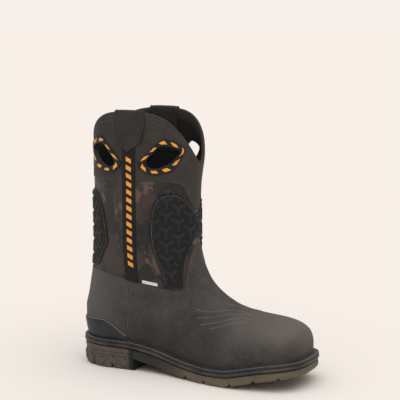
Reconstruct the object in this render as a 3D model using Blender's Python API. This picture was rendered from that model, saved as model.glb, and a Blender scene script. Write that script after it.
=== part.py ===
"""Western work boot, right foot. Toe points +X, outer side is -Y, sole stands on z = 0. Metres."""
import math

import bmesh
import bpy
import numpy as np

# Driving sizes
SOLE_LENGTH = 0.310
BALL_WIDTH = 0.112
HEEL_BLOCK = 0.027
TREAD = 0.0105
MIDSOLE = 0.0055
WELT = 0.003
TOE_SPRING = 0.017
WELT_REACH = 0.008
SWELL = 0.0035
FOOT_RISE = 0.100
SHAFT_RISE = 0.186
SHAFT_WIDTH = 0.094
COLLAR_DIP = 0.053
ARCH_SQUARE, ARCH_ROUND = 3.2, 1.5
WALL = 0.0024
FOOT_STEP = 0.0012
COLLAR_STEP = 0.0008
GAP = 0.0003
GROOVE_DEPTH = 0.004
GROOVE_WIDTH = 0.005
HEEL_BREAST = 0.275
HOLE_LENGTH = 0.126 * SOLE_LENGTH
HOLE_HEIGHT = 0.029
HOLE_SPREAD = 0.1316 * SOLE_LENGTH
COLLAR_MIDDLE = 0.2823 * SOLE_LENGTH
HOLE_LEVEL = 0.8312
STRAP_WIDTH = 0.044
STRAP_THICK = 0.0018
STRIP_WIDTH = 0.018
STRIP_THICK = 0.0011
PANEL_THICK = 0.0018
SEAT_PLAY = 0.0005
GUARD_THICK = 0.0018
FRAME_THICK = 0.0012
TAG_THICK = 0.0008

# Sole outline: share of length; half widths, outer and inner, as shares of ball width
OUTLINE = np.array([
    (0.00, 0.335, 0.335),
    (0.14, 0.342, 0.335),
    (0.28, 0.330, 0.312),
    (0.40, 0.345, 0.300),
    (0.54, 0.415, 0.345),
    (0.66, 0.480, 0.440),
    (0.75, 0.495, 0.500),
    (0.86, 0.460, 0.515),
    (0.95, 0.405, 0.490),
    (1.00, 0.380, 0.470)])
HEEL_FADE, HEEL_SQUARE = 0.125, 2.1

# Sole side view: share of length; share of the heel lift; share of toe spring; tread thickness share
SEAT = np.array([
    (0.00, 1.06, 0.00, 1.00),
    (0.10, 1.01, 0.00, 1.00),
    (0.22, 0.99, 0.00, 1.00),
    (0.34, 0.78, 0.00, 1.20),
    (0.46, 0.31, 0.00, 1.15),
    (0.56, 0.06, 0.00, 1.08),
    (0.62, 0.00, 0.00, 1.06),
    (0.70, 0.00, 0.06, 1.12),
    (0.78, 0.00, 0.36, 1.00),
    (0.88, 0.00, 0.73, 0.95),
    (1.00, 0.00, 1.00, 0.85)])

# Rings of the upper from the welt to the collar. Columns: number; front place (share of length) and
# height (1 = top of the foot, 2 = a shaft rise above it); back place and height; depth of the front
# rounding (share of length) and its squareness; swell; how far shaft replaces foot; shaft half
# widths, outer and inner (shares of shaft width); share of the collar's scallop.
RINGS = np.array([
    (0, 0.974, 0.000, 0.026, 0.00, 0.112, 3.00, 0.0, 0.00, 0.500, 0.50, 0.00),
    (1, 0.974, 0.130, 0.018, 0.13, 0.115, 2.80, 0.8, 0.00, 0.500, 0.50, 0.00),
    (2, 0.963, 0.280, 0.012, 0.27, 0.125, 2.50, 1.0, 0.00, 0.500, 0.50, 0.00),
    (3, 0.926, 0.405, 0.012, 0.37, 0.140, 2.30, 0.9, 0.03, 0.500, 0.50, 0.00),
    (4, 0.860, 0.485, 0.017, 0.45, 0.155, 2.15, 0.8, 0.10, 0.500, 0.50, 0.00),
    (5, 0.775, 0.570, 0.026, 0.54, 0.170, 2.05, 0.6, 0.22, 0.480, 0.48, 0.00),
    (6, 0.680, 0.680, 0.034, 0.70, 0.185, 2.00, 0.4, 0.42, 0.460, 0.46, 0.00),
    (7, 0.600, 0.820, 0.043, 0.87, 0.200, 2.00, 0.2, 0.66, 0.450, 0.45, 0.00),
    (8, 0.545, 0.970, 0.051, 0.99, 0.210, 2.00, 0.0, 0.86, 0.455, 0.455, 0.00),
    (9, 0.514, 1.120, 0.055, 1.12, 0.220, 2.05, 0.0, 1.00, 0.465, 0.47, 0.06),
    (10, 0.503, 1.290, 0.055, 1.27, 0.225, 2.10, 0.0, 1.00, 0.480, 0.49, 0.20),
    (11, 0.503, 1.450, 0.053, 1.45, 0.230, 2.10, 0.0, 1.00, 0.480, 0.50, 0.50),
    (12, 0.508, 1.600, 0.052, 1.62, 0.230, 2.10, 0.0, 1.00, 0.475, 0.50, 0.80),
    (13, 0.521, 1.760, 0.053, 1.78, 0.230, 2.10, 0.0, 1.00, 0.470, 0.50, 1.00)])
RING_COLUMNS = ("number", "front", "front_up", "back", "back_up", "fade", "square", "swell", "shaft",
                "outer", "inner", "scallop")

# Upper edge of the foot leather: place round the ring (0 front, 1 back), ring share
FOOT_LINE = np.array([
    (0.00, 0.735), (0.05, 0.728), (0.09, 0.695), (0.13, 0.655), (0.17, 0.600), (0.21, 0.548),
    (0.30, 0.538), (0.45, 0.540), (0.60, 0.548), (0.80, 0.560), (1.00, 0.565)])
# Lower edge of the collar leather: place round the ring, ring share
COLLAR_LINE = np.array([
    (0.00, 0.838), (0.05, 0.846), (0.10, 0.872), (0.15, 0.888), (0.28, 0.876), (0.42, 0.868),
    (0.48, 0.880), (0.58, 0.880), (0.64, 0.862), (0.80, 0.872), (1.00, 0.885)])
# Front panel: place and ring share of its inner edge, then of its outer edge, foot to ridge
FRONT_PANEL = np.array([
    (0.225, 0.560, 0.330, 0.556), (0.202, 0.590, 0.330, 0.590), (0.170, 0.640, 0.315, 0.640),
    (0.138, 0.684, 0.345, 0.690), (0.105, 0.712, 0.368, 0.750), (0.076, 0.732, 0.362, 0.805),
    (0.050, 0.744, 0.300, 0.844), (0.030, 0.750, 0.180, 0.861), (0.015, 0.752, 0.080, 0.846),
    (0.000, 0.752, 0.000, 0.828)])
# Rear panel: ring share, half width as a share of half the ring
REAR_PANEL = np.array([
    (0.575, 0.12), (0.582, 0.17), (0.60, 0.21), (0.63, 0.235), (0.67, 0.27), (0.715, 0.32),
    (0.775, 0.30), (0.812, 0.265), (0.836, 0.22), (0.848, 0.14)])
# Heel guard: share of length, ring share of its upper edge
HEEL_GUARD = np.array([
    (0.018, 0.130), (0.080, 0.132), (0.145, 0.138), (0.165, 0.122), (0.194, 0.092), (0.226, 0.050),
    (0.238, 0.042)])
# Pull strap: share of its length, front and rear edge as shares of strap width from its middle
STRAP_EDGE = np.array([(0.00, -0.38, 0.36), (0.30, -0.43, 0.42), (0.75, -0.51, 0.49), (1.00, -0.46, 0.45)])
# Pull strap lower edge: place across, height as a share of collar height
STRAP_TIP = np.array([(0.00, 0.882), (0.45, 0.845), (1.00, 0.880)])
# Cut-out and its frame: along (away from the strap) and up, shares of hole length and height
HOLE = np.array([
    (-0.50, -0.24), (-0.25, 0.18), (0.06, 0.48), (0.50, 0.28), (0.41, -0.05), (0.21, -0.31),
    (-0.17, -0.51), (-0.42, -0.44)])
FRAME = np.array([
    (-0.74, -0.27), (-0.32, 0.31), (0.10, 0.76), (0.58, 0.42), (0.53, -0.03), (0.26, -0.61),
    (-0.32, -0.75), (-0.60, -0.58)])
# Grooves across the bottom, shares of length
FOREFOOT_GROOVES = (0.525, 0.615, 0.730, 0.825, 0.920)
HEEL_GROOVES = (0.090, 0.180)

COLOURS = {
    "rubber": (0.020, 0.021, 0.023), "tread": (0.060, 0.052, 0.040), "heel": (0.062, 0.052, 0.047),
    "leather": (0.045, 0.038, 0.035), "lining": (0.015, 0.015, 0.016), "strap": (0.028, 0.026, 0.025),
    "webbing": (0.012, 0.012, 0.013), "tag": (0.72, 0.71, 0.69)}


def smooth(table, at, column):
    """Monotone cubic through one column of a table, against its first column."""
    x, y = table[:, 0], table[:, column]
    step, slope = np.diff(x), np.diff(y) / np.diff(x)
    tangent = np.zeros_like(y)
    w1, w2 = 2 * step[1:] + step[:-1], step[1:] + 2 * step[:-1]
    same = slope[:-1] * slope[1:] > 0
    before, after = np.where(same, slope[:-1], 1.0), np.where(same, slope[1:], 1.0)
    tangent[1:-1] = np.where(same, (w1 + w2) / (w1 / before + w2 / after), 0.0)
    tangent[0], tangent[-1] = slope[0], slope[-1]
    at = np.asarray(at, float)
    i = np.clip(np.searchsorted(x, at) - 1, 0, len(x) - 2)
    t = np.clip((at - x[i]) / step[i], 0.0, 1.0)
    return ((1 + 2 * t) * (1 - t) ** 2 * y[i] + t * (1 - t) ** 2 * step[i] * tangent[i]
            + t * t * (3 - 2 * t) * y[i + 1] + t * t * (t - 1) * step[i] * tangent[i + 1])


def rounding(depth, power):
    """Rises from 0 at the edge to 1 once depth reaches 1."""
    depth = np.clip(depth, 0.0, 1.0)
    return (1 - (1 - depth) ** power) ** (1 / power)


def tread_top(x):
    """Height where the tread meets the midsole."""
    share = np.asarray(x, float) / SOLE_LENGTH
    lift = (HEEL_BLOCK - TREAD) * smooth(SEAT, share, 1)
    return TREAD + lift + TOE_SPRING * smooth(SEAT, share, 2)


def feather(x):
    """Height of the welt's top, where the upper starts."""
    return tread_top(x) + MIDSOLE + WELT


def ring_size(v, name):
    return smooth(RINGS, np.asarray(v, float) * (len(RINGS) - 1), RING_COLUMNS.index(name))


def profile_height(x, up):
    return feather(x) + FOOT_RISE * np.minimum(up, 1.0) + SHAFT_RISE * np.maximum(up - 1.0, 0.0)


def front_point(v):
    x = ring_size(v, "front") * SOLE_LENGTH
    return x, profile_height(x, ring_size(v, "front_up"))


def back_point(v):
    x = ring_size(v, "back") * SOLE_LENGTH
    return x, profile_height(x, ring_size(v, "back_up"))


LEVELS = np.linspace(0.0, 1.0, 261)
FRONT_LINE = np.stack(front_point(LEVELS), 1)
FRONT_LINE = np.r_[FRONT_LINE, FRONT_LINE[-1:] + [[0.004, 0.1]]]
BACK_LINE = np.stack(back_point(LEVELS), 1)


def front_depth(x, z):
    """Distance behind the front line, and the ring share of the nearest point on it."""
    start, run = FRONT_LINE[:-1], np.diff(FRONT_LINE, axis=0)
    away = np.stack([x, z], 1)[:, None] - start
    t = np.clip((away * run).sum(2) / (run * run).sum(1), 0.0, 1.0)
    gap = np.linalg.norm(away - t[..., None] * run, axis=2)
    k = gap.argmin(1)
    at = (k + t[np.arange(len(k)), k]) / (len(LEVELS) - 1)
    return gap.min(1), np.minimum(at, 1.0)


def ring_height(v, x):
    """Height of a ring over a place in side view: level, sagging with the sole, scalloped on top."""
    front_x, front_z = front_point(v)
    back_x, back_z = back_point(v)
    share = np.clip((x - back_x) / (front_x - back_x), 0.0, 1.0)
    level = back_z + (front_z - back_z) * share
    sag = feather(x) - feather(back_x) - (feather(front_x) - feather(back_x)) * share
    level = level + sag * np.maximum(0.0, 1 - v / 0.6) ** 1.5
    scallop = ring_size(v, "scallop")
    peak = 0.5 * (back_z + front_z) + COLLAR_DIP * scallop
    dome = (1 - np.abs(2 * share - 1) ** ARCH_SQUARE) ** (1 / ARCH_ROUND)
    end = np.where(share > 0.5, front_z, back_z)
    return level + scallop * (end + (peak - end) * dome - level)


def half_width(v, x, z, side):
    """Distance of the skin from the middle plane."""
    depth, at = front_depth(x, z)
    front = rounding(depth / (ring_size(at, "fade") * SOLE_LENGTH), ring_size(at, "square"))
    shaft = ring_size(v, "shaft")
    back_fade = HEEL_FADE * (1 - shaft) + ring_size(v, "fade") * shaft
    back_x = np.interp(z, BACK_LINE[:, 1], BACK_LINE[:, 0])
    back = rounding((x - back_x) / (back_fade * SOLE_LENGTH), HEEL_SQUARE)
    foot = BALL_WIDTH * smooth(OUTLINE, x / SOLE_LENGTH, 1 if side < 0 else 2) - WELT_REACH
    foot = foot + SWELL * ring_size(v, "swell")
    leg = SHAFT_WIDTH * ring_size(v, "outer" if side < 0 else "inner")
    return ((1 - shaft) * foot + shaft * leg) * front * back


def half_ring(v, side, count):
    """Points evenly spaced along one side of a ring, front to back."""
    share = 0.5 + 0.5 * np.cos(np.linspace(0.0, math.pi, 240))
    front_x, back_x = front_point(v)[0], back_point(v)[0]
    x = back_x + (front_x - back_x) * share
    z = ring_height(v, x)
    y = side * half_width(v, x, z, side)
    y[0] = y[-1] = 0.0
    line = np.stack([x, y, z], 1)
    along = np.r_[0.0, np.cumsum(np.linalg.norm(np.diff(line, axis=0), axis=1))]
    want = np.linspace(0.0, along[-1], count)
    return np.stack([np.interp(want, along, line[:, k]) for k in range(3)], 1)


HALF = 240


def full_ring(v):
    """Closed ring: front, outer side, back, inner side."""
    outer, inner = half_ring(v, -1, HALF + 1), half_ring(v, 1, HALF + 1)
    return np.r_[outer, inner[-2:0:-1]]


SKIN = np.array([full_ring(v) for v in LEVELS])


def skin_normals():
    across = np.roll(SKIN, -2, axis=1) - np.roll(SKIN, 2, axis=1)
    up = np.gradient(SKIN, axis=0)
    normal = np.cross(up, across)
    return normal / np.linalg.norm(normal, axis=2, keepdims=True)


NORMALS = skin_normals()


def blend(field, v, u):
    """Value of a skin field at ring share v and place u (0 front, -1 and 1 back, outer side below 0)."""
    v, u = np.broadcast_arrays(np.asarray(v, float), np.asarray(u, float))
    row = np.clip(v, 0.0, 1.0) * (len(LEVELS) - 1)
    col = np.mod(-u, 2.0) * HALF
    i = np.clip(row.astype(int), 0, len(LEVELS) - 2)
    j = col.astype(int) % (2 * HALF)
    s, t = (row - i)[..., None], (col - np.floor(col))[..., None]
    k = (j + 1) % (2 * HALF)
    return ((1 - s) * ((1 - t) * field[i, j] + t * field[i, k])
            + s * ((1 - t) * field[i + 1, j] + t * field[i + 1, k]))


def on_skin(v, u, lift):
    """Point on the skin, moved outwards by lift."""
    normal = blend(NORMALS, v, u)
    normal = normal / np.linalg.norm(normal, axis=-1, keepdims=True)
    return blend(SKIN, v, u) + normal * np.asarray(lift, float)[..., None]


def halved(reached, low, high):
    """Value between low and high where a rising yes or no test turns, for arrays."""
    for _ in range(26):
        middle = 0.5 * (low + high)
        past = reached(middle)
        low, high = np.where(past, low, middle), np.where(past, middle, high)
    return 0.5 * (low + high)


def place_round(v, x, side):
    """Place round the ring of share v that lies at x in side view."""
    v, x = np.broadcast_arrays(np.asarray(v, float), np.asarray(x, float))
    reached = lambda u: blend(SKIN, v, side * u)[..., 0] <= x
    return side * halved(reached, np.zeros(x.shape), np.ones(x.shape))


def ring_at(x, z):
    """Ring share whose height over x is z."""
    x, z = np.broadcast_arrays(np.asarray(x, float), np.asarray(z, float))
    return halved(lambda v: ring_height(v, x) >= z, np.zeros(x.shape), np.ones(x.shape))


def cushion(levels):
    """Closed solid from a first to a last grid, walled round its edge through those between."""
    rows, cols = levels[0].shape[:2]
    rim = [(0, k) for k in range(cols)] + [(i, cols - 1) for i in range(1, rows)]
    rim += [(rows - 1, k) for k in range(cols - 2, -1, -1)] + [(i, 0) for i in range(rows - 2, 0, -1)]
    first = np.arange(rows * cols).reshape(rows, cols)
    points = list(levels[0].reshape(-1, 3))
    faces = grid_faces(first)
    loop = [first[i, k] for i, k in rim]
    for level in levels[1:-1]:
        start = len(points)
        points += [level[i, k] for i, k in rim]
        fresh = list(range(start, start + len(rim)))
        faces += wall_faces(loop, fresh)
        loop = fresh
    last = len(points) + first
    points += list(levels[-1].reshape(-1, 3))
    faces += wall_faces(loop, [last[i, k] for i, k in rim]) + grid_faces(last)
    return points, faces


def grid_faces(index):
    rows, cols = index.shape
    return [(index[i, k], index[i, k + 1], index[i + 1, k + 1], index[i + 1, k])
            for i in range(rows - 1) for k in range(cols - 1)]


def wall_faces(low, high):
    count = len(low)
    return [(low[k], low[(k + 1) % count], high[(k + 1) % count], high[k]) for k in range(count)]


def closed_tube(sections):
    """Closed solid from closed loops, the last joined back to the first."""
    sections = np.asarray(sections)
    index = np.arange(sections.shape[0] * sections.shape[1]).reshape(sections.shape[:2])
    faces = []
    for k in range(len(sections)):
        faces += wall_faces(list(index[k]), list(index[(k + 1) % len(sections)]))
    return list(sections.reshape(-1, 3)), faces


def material(name):
    found = bpy.data.materials.get(name)
    if found:
        return found
    made = bpy.data.materials.new(name)
    made.use_nodes = True
    shader = made.node_tree.nodes["Principled BSDF"]
    shader.inputs["Base Color"].default_value = (*COLOURS[name], 1.0)
    shader.inputs["Roughness"].default_value = 0.6
    return made


def add_piece(name, shape, paint):
    """Object from points and faces, normals turned outwards, shaded smooth."""
    points, faces = shape
    mesh = bpy.data.meshes.new(name)
    mesh.from_pydata([tuple(map(float, p)) for p in points], [], [tuple(map(int, f)) for f in faces])
    work = bmesh.new()
    work.from_mesh(mesh)
    bmesh.ops.recalc_face_normals(work, faces=work.faces)
    work.to_mesh(mesh)
    work.free()
    mesh.shade_smooth()
    mesh.set_sharp_from_angle(angle=math.radians(45))
    mesh.materials.append(material(paint))
    piece = bpy.data.objects.new(name, mesh)
    bpy.context.collection.objects.link(piece)
    return piece


def sole_rows(grooves, low, high):
    """Places along the sole, toe to heel, close at both ends and at each groove's edges."""
    tip, end = front_point(0.0)[0] - 0.00005, back_point(0.0)[0] + 0.0001
    t = np.linspace(0.0, 1.0, 29)
    rows = list(tip - (tip - end) * (t - 0.13 * np.sin(2 * math.pi * t)))
    cuts = []
    for share in grooves:
        middle = share * SOLE_LENGTH
        cuts += [middle + GROOVE_WIDTH * k for k in (0.5, 0.18, -0.18, -0.5)]
    rows = [x for x in rows if all(abs(x - c) > 0.003 for c in cuts) and low + 0.002 < x < high - 0.002]
    rows += cuts
    rows += [high if high < tip else tip, low if low > end else end]
    return np.array(sorted(set(rows), reverse=True))


def sole_edge(rows, side, grow):
    """Sole outline at the given places, grown outwards in plan."""
    u = np.linspace(0.0, 1.0, 1201)
    line = blend(SKIN, 0.0, side * u)[:, :2]
    along = np.gradient(line, axis=0)
    out = np.stack([along[:, 1], -along[:, 0]], 1) * side
    out = out / np.linalg.norm(out, axis=1, keepdims=True)
    at = np.interp(-rows, -line[:, 0], u)
    at = np.clip(at, 0.004, 0.996)
    point = np.stack([np.interp(at, u, line[:, k]) for k in (0, 1)], 1)
    normal = np.stack([np.interp(at, u, out[:, k]) for k in (0, 1)], 1)
    return point + normal * grow


def sole_level(rows, grow, height, cols):
    """Grid across the sole at the given places."""
    outer, inner = sole_edge(rows, -1, grow), sole_edge(rows, 1, grow)
    share = np.linspace(0.0, 1.0, cols)[None, :, None]
    plan = outer[:, None] * (1 - share) + inner[:, None] * share
    z = np.broadcast_to(height(plan[..., 0]), plan.shape[:2])
    return np.concatenate([plan, z[..., None]], 2)


def groove_lift(x, grooves):
    """How far each groove raises the bottom at x."""
    lift = np.zeros_like(x)
    for share in grooves:
        away = np.abs(x - share * SOLE_LENGTH) / GROOVE_WIDTH
        lift = np.maximum(lift, GROOVE_DEPTH * np.clip((0.5 - away) / 0.32, 0.0, 1.0))
    return lift


def tread_bottom(x):
    share = x / SOLE_LENGTH
    low = np.maximum(0.0, tread_top(x) - TREAD * smooth(SEAT, share, 3))
    return low + groove_lift(x, FOREFOOT_GROOVES)


def heel_bottom(x):
    return groove_lift(x, HEEL_GROOVES)


def stacked(rows, cols, low, high, steps, straight=False):
    """Levels between two height functions; steps are height shares and growths. A straight underside
    takes its height from the row alone, so that grooves run straight across and flats stay flat."""
    levels = []
    for share, grow in steps:
        def height(x):
            under = low(rows)[:, None] if straight else low(x)
            return under + (high(x) - under) * share
        levels.append(sole_level(rows, grow, height, cols))
    return levels


def build_outsole():
    rows = sole_rows(FOREFOOT_GROOVES, HEEL_BREAST * SOLE_LENGTH + GAP, SOLE_LENGTH)
    edge = WELT_REACH - 0.0006
    steps = [(0.0, edge - 0.0022), (0.12, edge - 0.0006), (0.30, edge), (0.80, edge), (1.0, edge - 0.001)]
    add_piece("outsole", cushion(stacked(rows, 4, tread_bottom, tread_top, steps, True)), "tread")


def build_heel():
    rows = sole_rows(HEEL_GROOVES, 0.0, HEEL_BREAST * SOLE_LENGTH)
    edge = WELT_REACH - 0.0008
    steps = [(0.0, edge - 0.0034), (0.05, edge - 0.0016), (0.16, edge - 0.0002), (0.66, edge),
             (0.70, edge - 0.0011), (0.78, edge - 0.0011), (0.82, edge), (1.0, edge - 0.0006)]
    add_piece("heel", cushion(stacked(rows, 4, heel_bottom, tread_top, steps, True)), "heel")


def midsole_low(x):
    return tread_top(x) + GAP


def midsole_high(x):
    return tread_top(x) + MIDSOLE


def welt_low(x):
    return midsole_high(x) + GAP


def insole_high(x):
    return feather(x) + 0.003


def build_midsole():
    rows = sole_rows((), 0.0, SOLE_LENGTH)
    edge = WELT_REACH
    steps = [(0.0, edge - 0.0014), (0.2, edge), (0.8, edge + 0.0002), (1.0, edge - 0.0010)]
    add_piece("midsole", cushion(stacked(rows, 3, midsole_low, midsole_high, steps)), "rubber")


def build_insole():
    rows = sole_rows((), 0.0, SOLE_LENGTH)
    edge = -WALL - GAP - 0.0002
    steps = [(0.0, edge), (1.0, edge - 0.0004)]
    add_piece("insole", cushion(stacked(rows, 3, welt_low, insole_high, steps)), "lining")


def build_welt():
    """Ring under the upper's edge, its lip rising beside the leather."""
    rows = sole_rows((), 0.0, SOLE_LENGTH)
    lip = FOOT_STEP + GAP
    profile = [(-WALL, 0.0, 0.0), (-WALL, 1.0, 0.0), (lip + 0.0004, 1.0, 0.0), (lip + 0.0012, 1.0, 0.0012),
               (lip + 0.0019, 1.0, 0.0011), (lip + 0.0026, 1.0, 0.0), (WELT_REACH - 0.0003, 1.0, -0.0003),
               (WELT_REACH - 0.0003, 0.0, 0.0)]
    loops = []
    for grow, share, rise in profile:
        loop = np.r_[sole_edge(rows, -1, grow), sole_edge(rows, 1, grow)[::-1]]
        low, high = welt_low(loop[:, 0]), feather(loop[:, 0])
        loops.append(np.c_[loop, low + (high - low) * share + rise])
    add_piece("welt", closed_tube(loops), "rubber")


def round_places():
    """Places round the upper, over the same places along the sole as the welt's corners."""
    rows = sole_rows((), 0.0, SOLE_LENGTH)
    return np.r_[0.0, place_round(0.0, rows, -1), -1.0, place_round(0.0, rows, 1)[::-1]]


def line_at(table, u):
    return np.interp(np.abs(u), table[:, 0], table[:, 1])


def upper_rows(u):
    """Outer face of the upper, welt to collar: ring shares and lifts, stepped at both leather edges."""
    foot, collar = line_at(FOOT_LINE, u), line_at(COLLAR_LINE, u)
    rows = [(foot * t, FOOT_STEP) for t in np.linspace(0.0, 1.0, 11) ** 1.2]
    rows += [(foot + 0.0025 + (collar - foot - 0.005) * t, 0.0) for t in np.linspace(0.0, 1.0, 7)]
    rows += [(collar + (1 - collar) * t, COLLAR_STEP) for t in np.linspace(0.0, 1.0, 6)]
    return rows


def build_upper():
    u = round_places()
    rise = SKIN[-1] - SKIN[-3]
    rise = rise / np.linalg.norm(rise, axis=1, keepdims=True)
    tangent = blend(np.stack([rise, rise]), 0.0, u)
    sections = [on_skin(v, u, np.full(len(u), lift)) for v, lift in upper_rows(u)]
    middle, reach = (COLLAR_STEP - WALL) / 2, (COLLAR_STEP + WALL) / 2
    for turn in (45, 90, 135):
        angle = math.radians(turn)
        top = on_skin(1.0, u, np.full(len(u), middle + reach * math.cos(angle)))
        sections.append(top + tangent * 0.0013 * math.sin(angle))
    for v in np.linspace(1.0, 0.0, 7):
        sections.append(on_skin(v, u, np.full(len(u), -WALL)))
    for k in (0, -1):
        sections[k][:, 2] = feather(sections[k][:, 0]) + GAP
    upper = add_piece("upper", closed_tube(sections), "leather")
    for away in (1, -1):
        for side in (-1, 1):
            cut_hole(upper, away, side)


def hole_outline(table, away, count, grow):
    """Closed rounded outline in side view, through the table's corners."""
    size = np.array([HOLE_LENGTH * away, HOLE_HEIGHT])
    level = HOLE_LEVEL * float(SKIN[-1, :, 2].max())
    middle = np.array([COLLAR_MIDDLE + HOLE_SPREAD * away, level])
    corners = table * size
    radius = np.linalg.norm(corners, axis=1, keepdims=True)
    corners = corners * (1 + grow / radius)
    n = len(corners)
    line = []
    for k in range(n):
        a, b, c, d = (corners[(k + j) % n] for j in (-1, 0, 1, 2))
        for t in np.linspace(0.0, 1.0, max(2, round(count / n)), endpoint=False):
            line.append(0.5 * (2 * b + (c - a) * t + (2 * a - 5 * b + 4 * c - d) * t ** 2
                               + (3 * b - a - 3 * c + d) * t ** 3))
    return np.array(line) + middle


def cut_hole(upper, away, side):
    """Cuts one finger hole through the collar leather."""
    outline = hole_outline(HOLE, away, 20, 0.0)
    near, far = side * 0.008, side * 0.09
    loops = [np.insert(outline, 1, y, axis=1) for y in (near, far)]
    count = len(outline)
    faces = wall_faces(list(range(count)), list(range(count, 2 * count)))
    faces += [tuple(range(count)), tuple(range(count, 2 * count))]
    cutter = add_piece("hole_cutter", (np.concatenate(loops), faces), "lining")
    cutter.hide_render = True
    cutter.display_type = "WIRE"
    cut = upper.modifiers.new("hole", "BOOLEAN")
    cut.operation = "DIFFERENCE"
    cut.solver = "EXACT"
    cut.object = cutter


def build_hole_frame(name, away, side):
    """Flat ring that follows the skin round a cut-out."""
    inner, outer = hole_outline(HOLE, away, 20, 0.0005), hole_outline(FRAME, away, 20, 0.0)
    low = COLLAR_STEP + GAP + 0.3 * SEAT_PLAY
    loops = []
    for share, lift in ((0.0, 0.0), (0.0, 1.0), (0.5, 1.0), (1.0, 1.0), (1.0, 0.0), (0.5, 0.0)):
        line = inner + (outer - inner) * share
        v = ring_at(line[:, 0], line[:, 1])
        u = place_round(v, line[:, 0], side)
        loops.append(on_skin(v, u, np.full(len(line), low + FRAME_THICK * lift)))
    add_piece(name, closed_tube(loops), "rubber")


def build_front_panel():
    """Horseshoe round the top of the foot leather, one leg down each side."""
    half = np.linspace(0.0, len(FRONT_PANEL) - 1, 17)
    table = np.c_[np.arange(len(FRONT_PANEL)), FRONT_PANEL]
    inner_u, inner_v, outer_u, outer_v = (smooth(table, half, k) for k in (1, 2, 3, 4))
    rows = []
    for side in (-1, 1):
        part = np.stack([side * inner_u, inner_v, side * outer_u, outer_v], 1)
        rows.append(part if side < 0 else part[-2::-1])
    line = np.concatenate(rows)
    across = np.linspace(0.0, 1.0, 8)[None]
    u = line[:, :1] * (1 - across) + line[:, 2:3] * across
    v = line[:, 1:2] * (1 - across) + line[:, 3:4] * across
    low = GAP + SEAT_PLAY
    levels = [on_skin(v, u, np.full(u.shape, low)), on_skin(v, u, np.full(u.shape, low + PANEL_THICK))]
    add_piece("front_tread_panel", cushion(levels), "rubber")


def build_rear_panel():
    v = np.interp(np.linspace(0, 1, 11), np.linspace(0, 1, len(REAR_PANEL)), REAR_PANEL[:, 0])[:, None]
    across = np.linspace(-1.0, 1.0, 13)[None]
    u = 1.0 + smooth(REAR_PANEL, v, 1) * across
    v = np.broadcast_to(v, u.shape)
    low = GAP + SEAT_PLAY
    levels = [on_skin(v, u, np.full(u.shape, low)), on_skin(v, u, np.full(u.shape, low + PANEL_THICK))]
    add_piece("rear_tread_panel", cushion(levels), "rubber")


def build_heel_guard():
    """Low rubber guard round the back, fading to the welt on both sides."""
    end = float(HEEL_GUARD[-1, 0] * SOLE_LENGTH)
    outer, inner = (float(place_round(0.05, end, side)) for side in (-1, 1))
    columns = round_places()
    columns = np.sort(np.where(columns > 0, columns - 2.0, columns))[::-1]
    columns = columns[(columns < outer - 0.01) & (columns > inner - 1.99)]
    u = np.r_[outer, columns, inner - 2.0]
    top = smooth(HEEL_GUARD, blend(SKIN, 0.08, u)[:, 0] / SOLE_LENGTH, 1)
    v_top, v_low = top, np.full(len(u), 0.024)
    up = np.linspace(0.0, 1.0, 4)[None]
    v = v_low[:, None] * (1 - up) + v_top[:, None] * up
    u = np.broadcast_to(u[:, None], v.shape)
    low = FOOT_STEP + GAP
    levels = [on_skin(v, u, np.full(u.shape, low)), on_skin(v, u, np.full(u.shape, low + GUARD_THICK))]
    add_piece("heel_guard", cushion(levels), "rubber")


def strap_low(across):
    """Ring share of the pull strap's lower edge."""
    x = COLLAR_MIDDLE + STRAP_WIDTH * (STRAP_EDGE[0, 1] + (STRAP_EDGE[0, 2] - STRAP_EDGE[0, 1]) * across)
    height = np.interp(across, STRAP_TIP[:, 0], STRAP_TIP[:, 1]) * float(SKIN[-1, :, 2].max())
    return ring_at(x, height)


def build_strap(name, side):
    """Strap from the outside over the collar to the inside."""
    across = np.linspace(0.0, 1.0, 8)
    low = strap_low(across)
    middle, reach = (COLLAR_STEP - WALL) / 2, (COLLAR_STEP + WALL) / 2 + GAP + 0.4 * SEAT_PLAY
    rise = SKIN[-1] - SKIN[-3]
    rise = rise / np.linalg.norm(rise, axis=1, keepdims=True)
    levels = [[], []]
    for share in np.linspace(0.0, 1.0, 6):
        edges = [np.interp(share, STRAP_EDGE[:, 0], STRAP_EDGE[:, k]) for k in (1, 2)]
        x = COLLAR_MIDDLE + STRAP_WIDTH * (edges[0] + (edges[1] - edges[0]) * across)
        v = low + (1 - low) * share
        u = place_round(v, x, side)
        for level, thick in zip(levels, (0.0, STRAP_THICK)):
            level.append(on_skin(v, u, np.full(len(u), middle + reach + thick)))
    tangent = blend(np.stack([rise, rise]), 0.0, u)
    for turn in (45, 90, 135):
        angle = math.radians(turn)
        for level, thick in zip(levels, (0.0, STRAP_THICK)):
            lift = np.full(len(u), middle + (reach + thick) * math.cos(angle))
            level.append(on_skin(1.0, u, lift) + tangent * (reach + thick) * math.sin(angle))
    for drop in (0.0, 0.02, 0.05, 0.08):
        for level, thick in zip(levels, (0.0, STRAP_THICK)):
            level.append(on_skin(np.full(len(u), 1.0 - drop), u, np.full(len(u), middle - reach - thick)))
    add_piece(name, cushion([np.array(level) for level in levels]), "strap")


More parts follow.
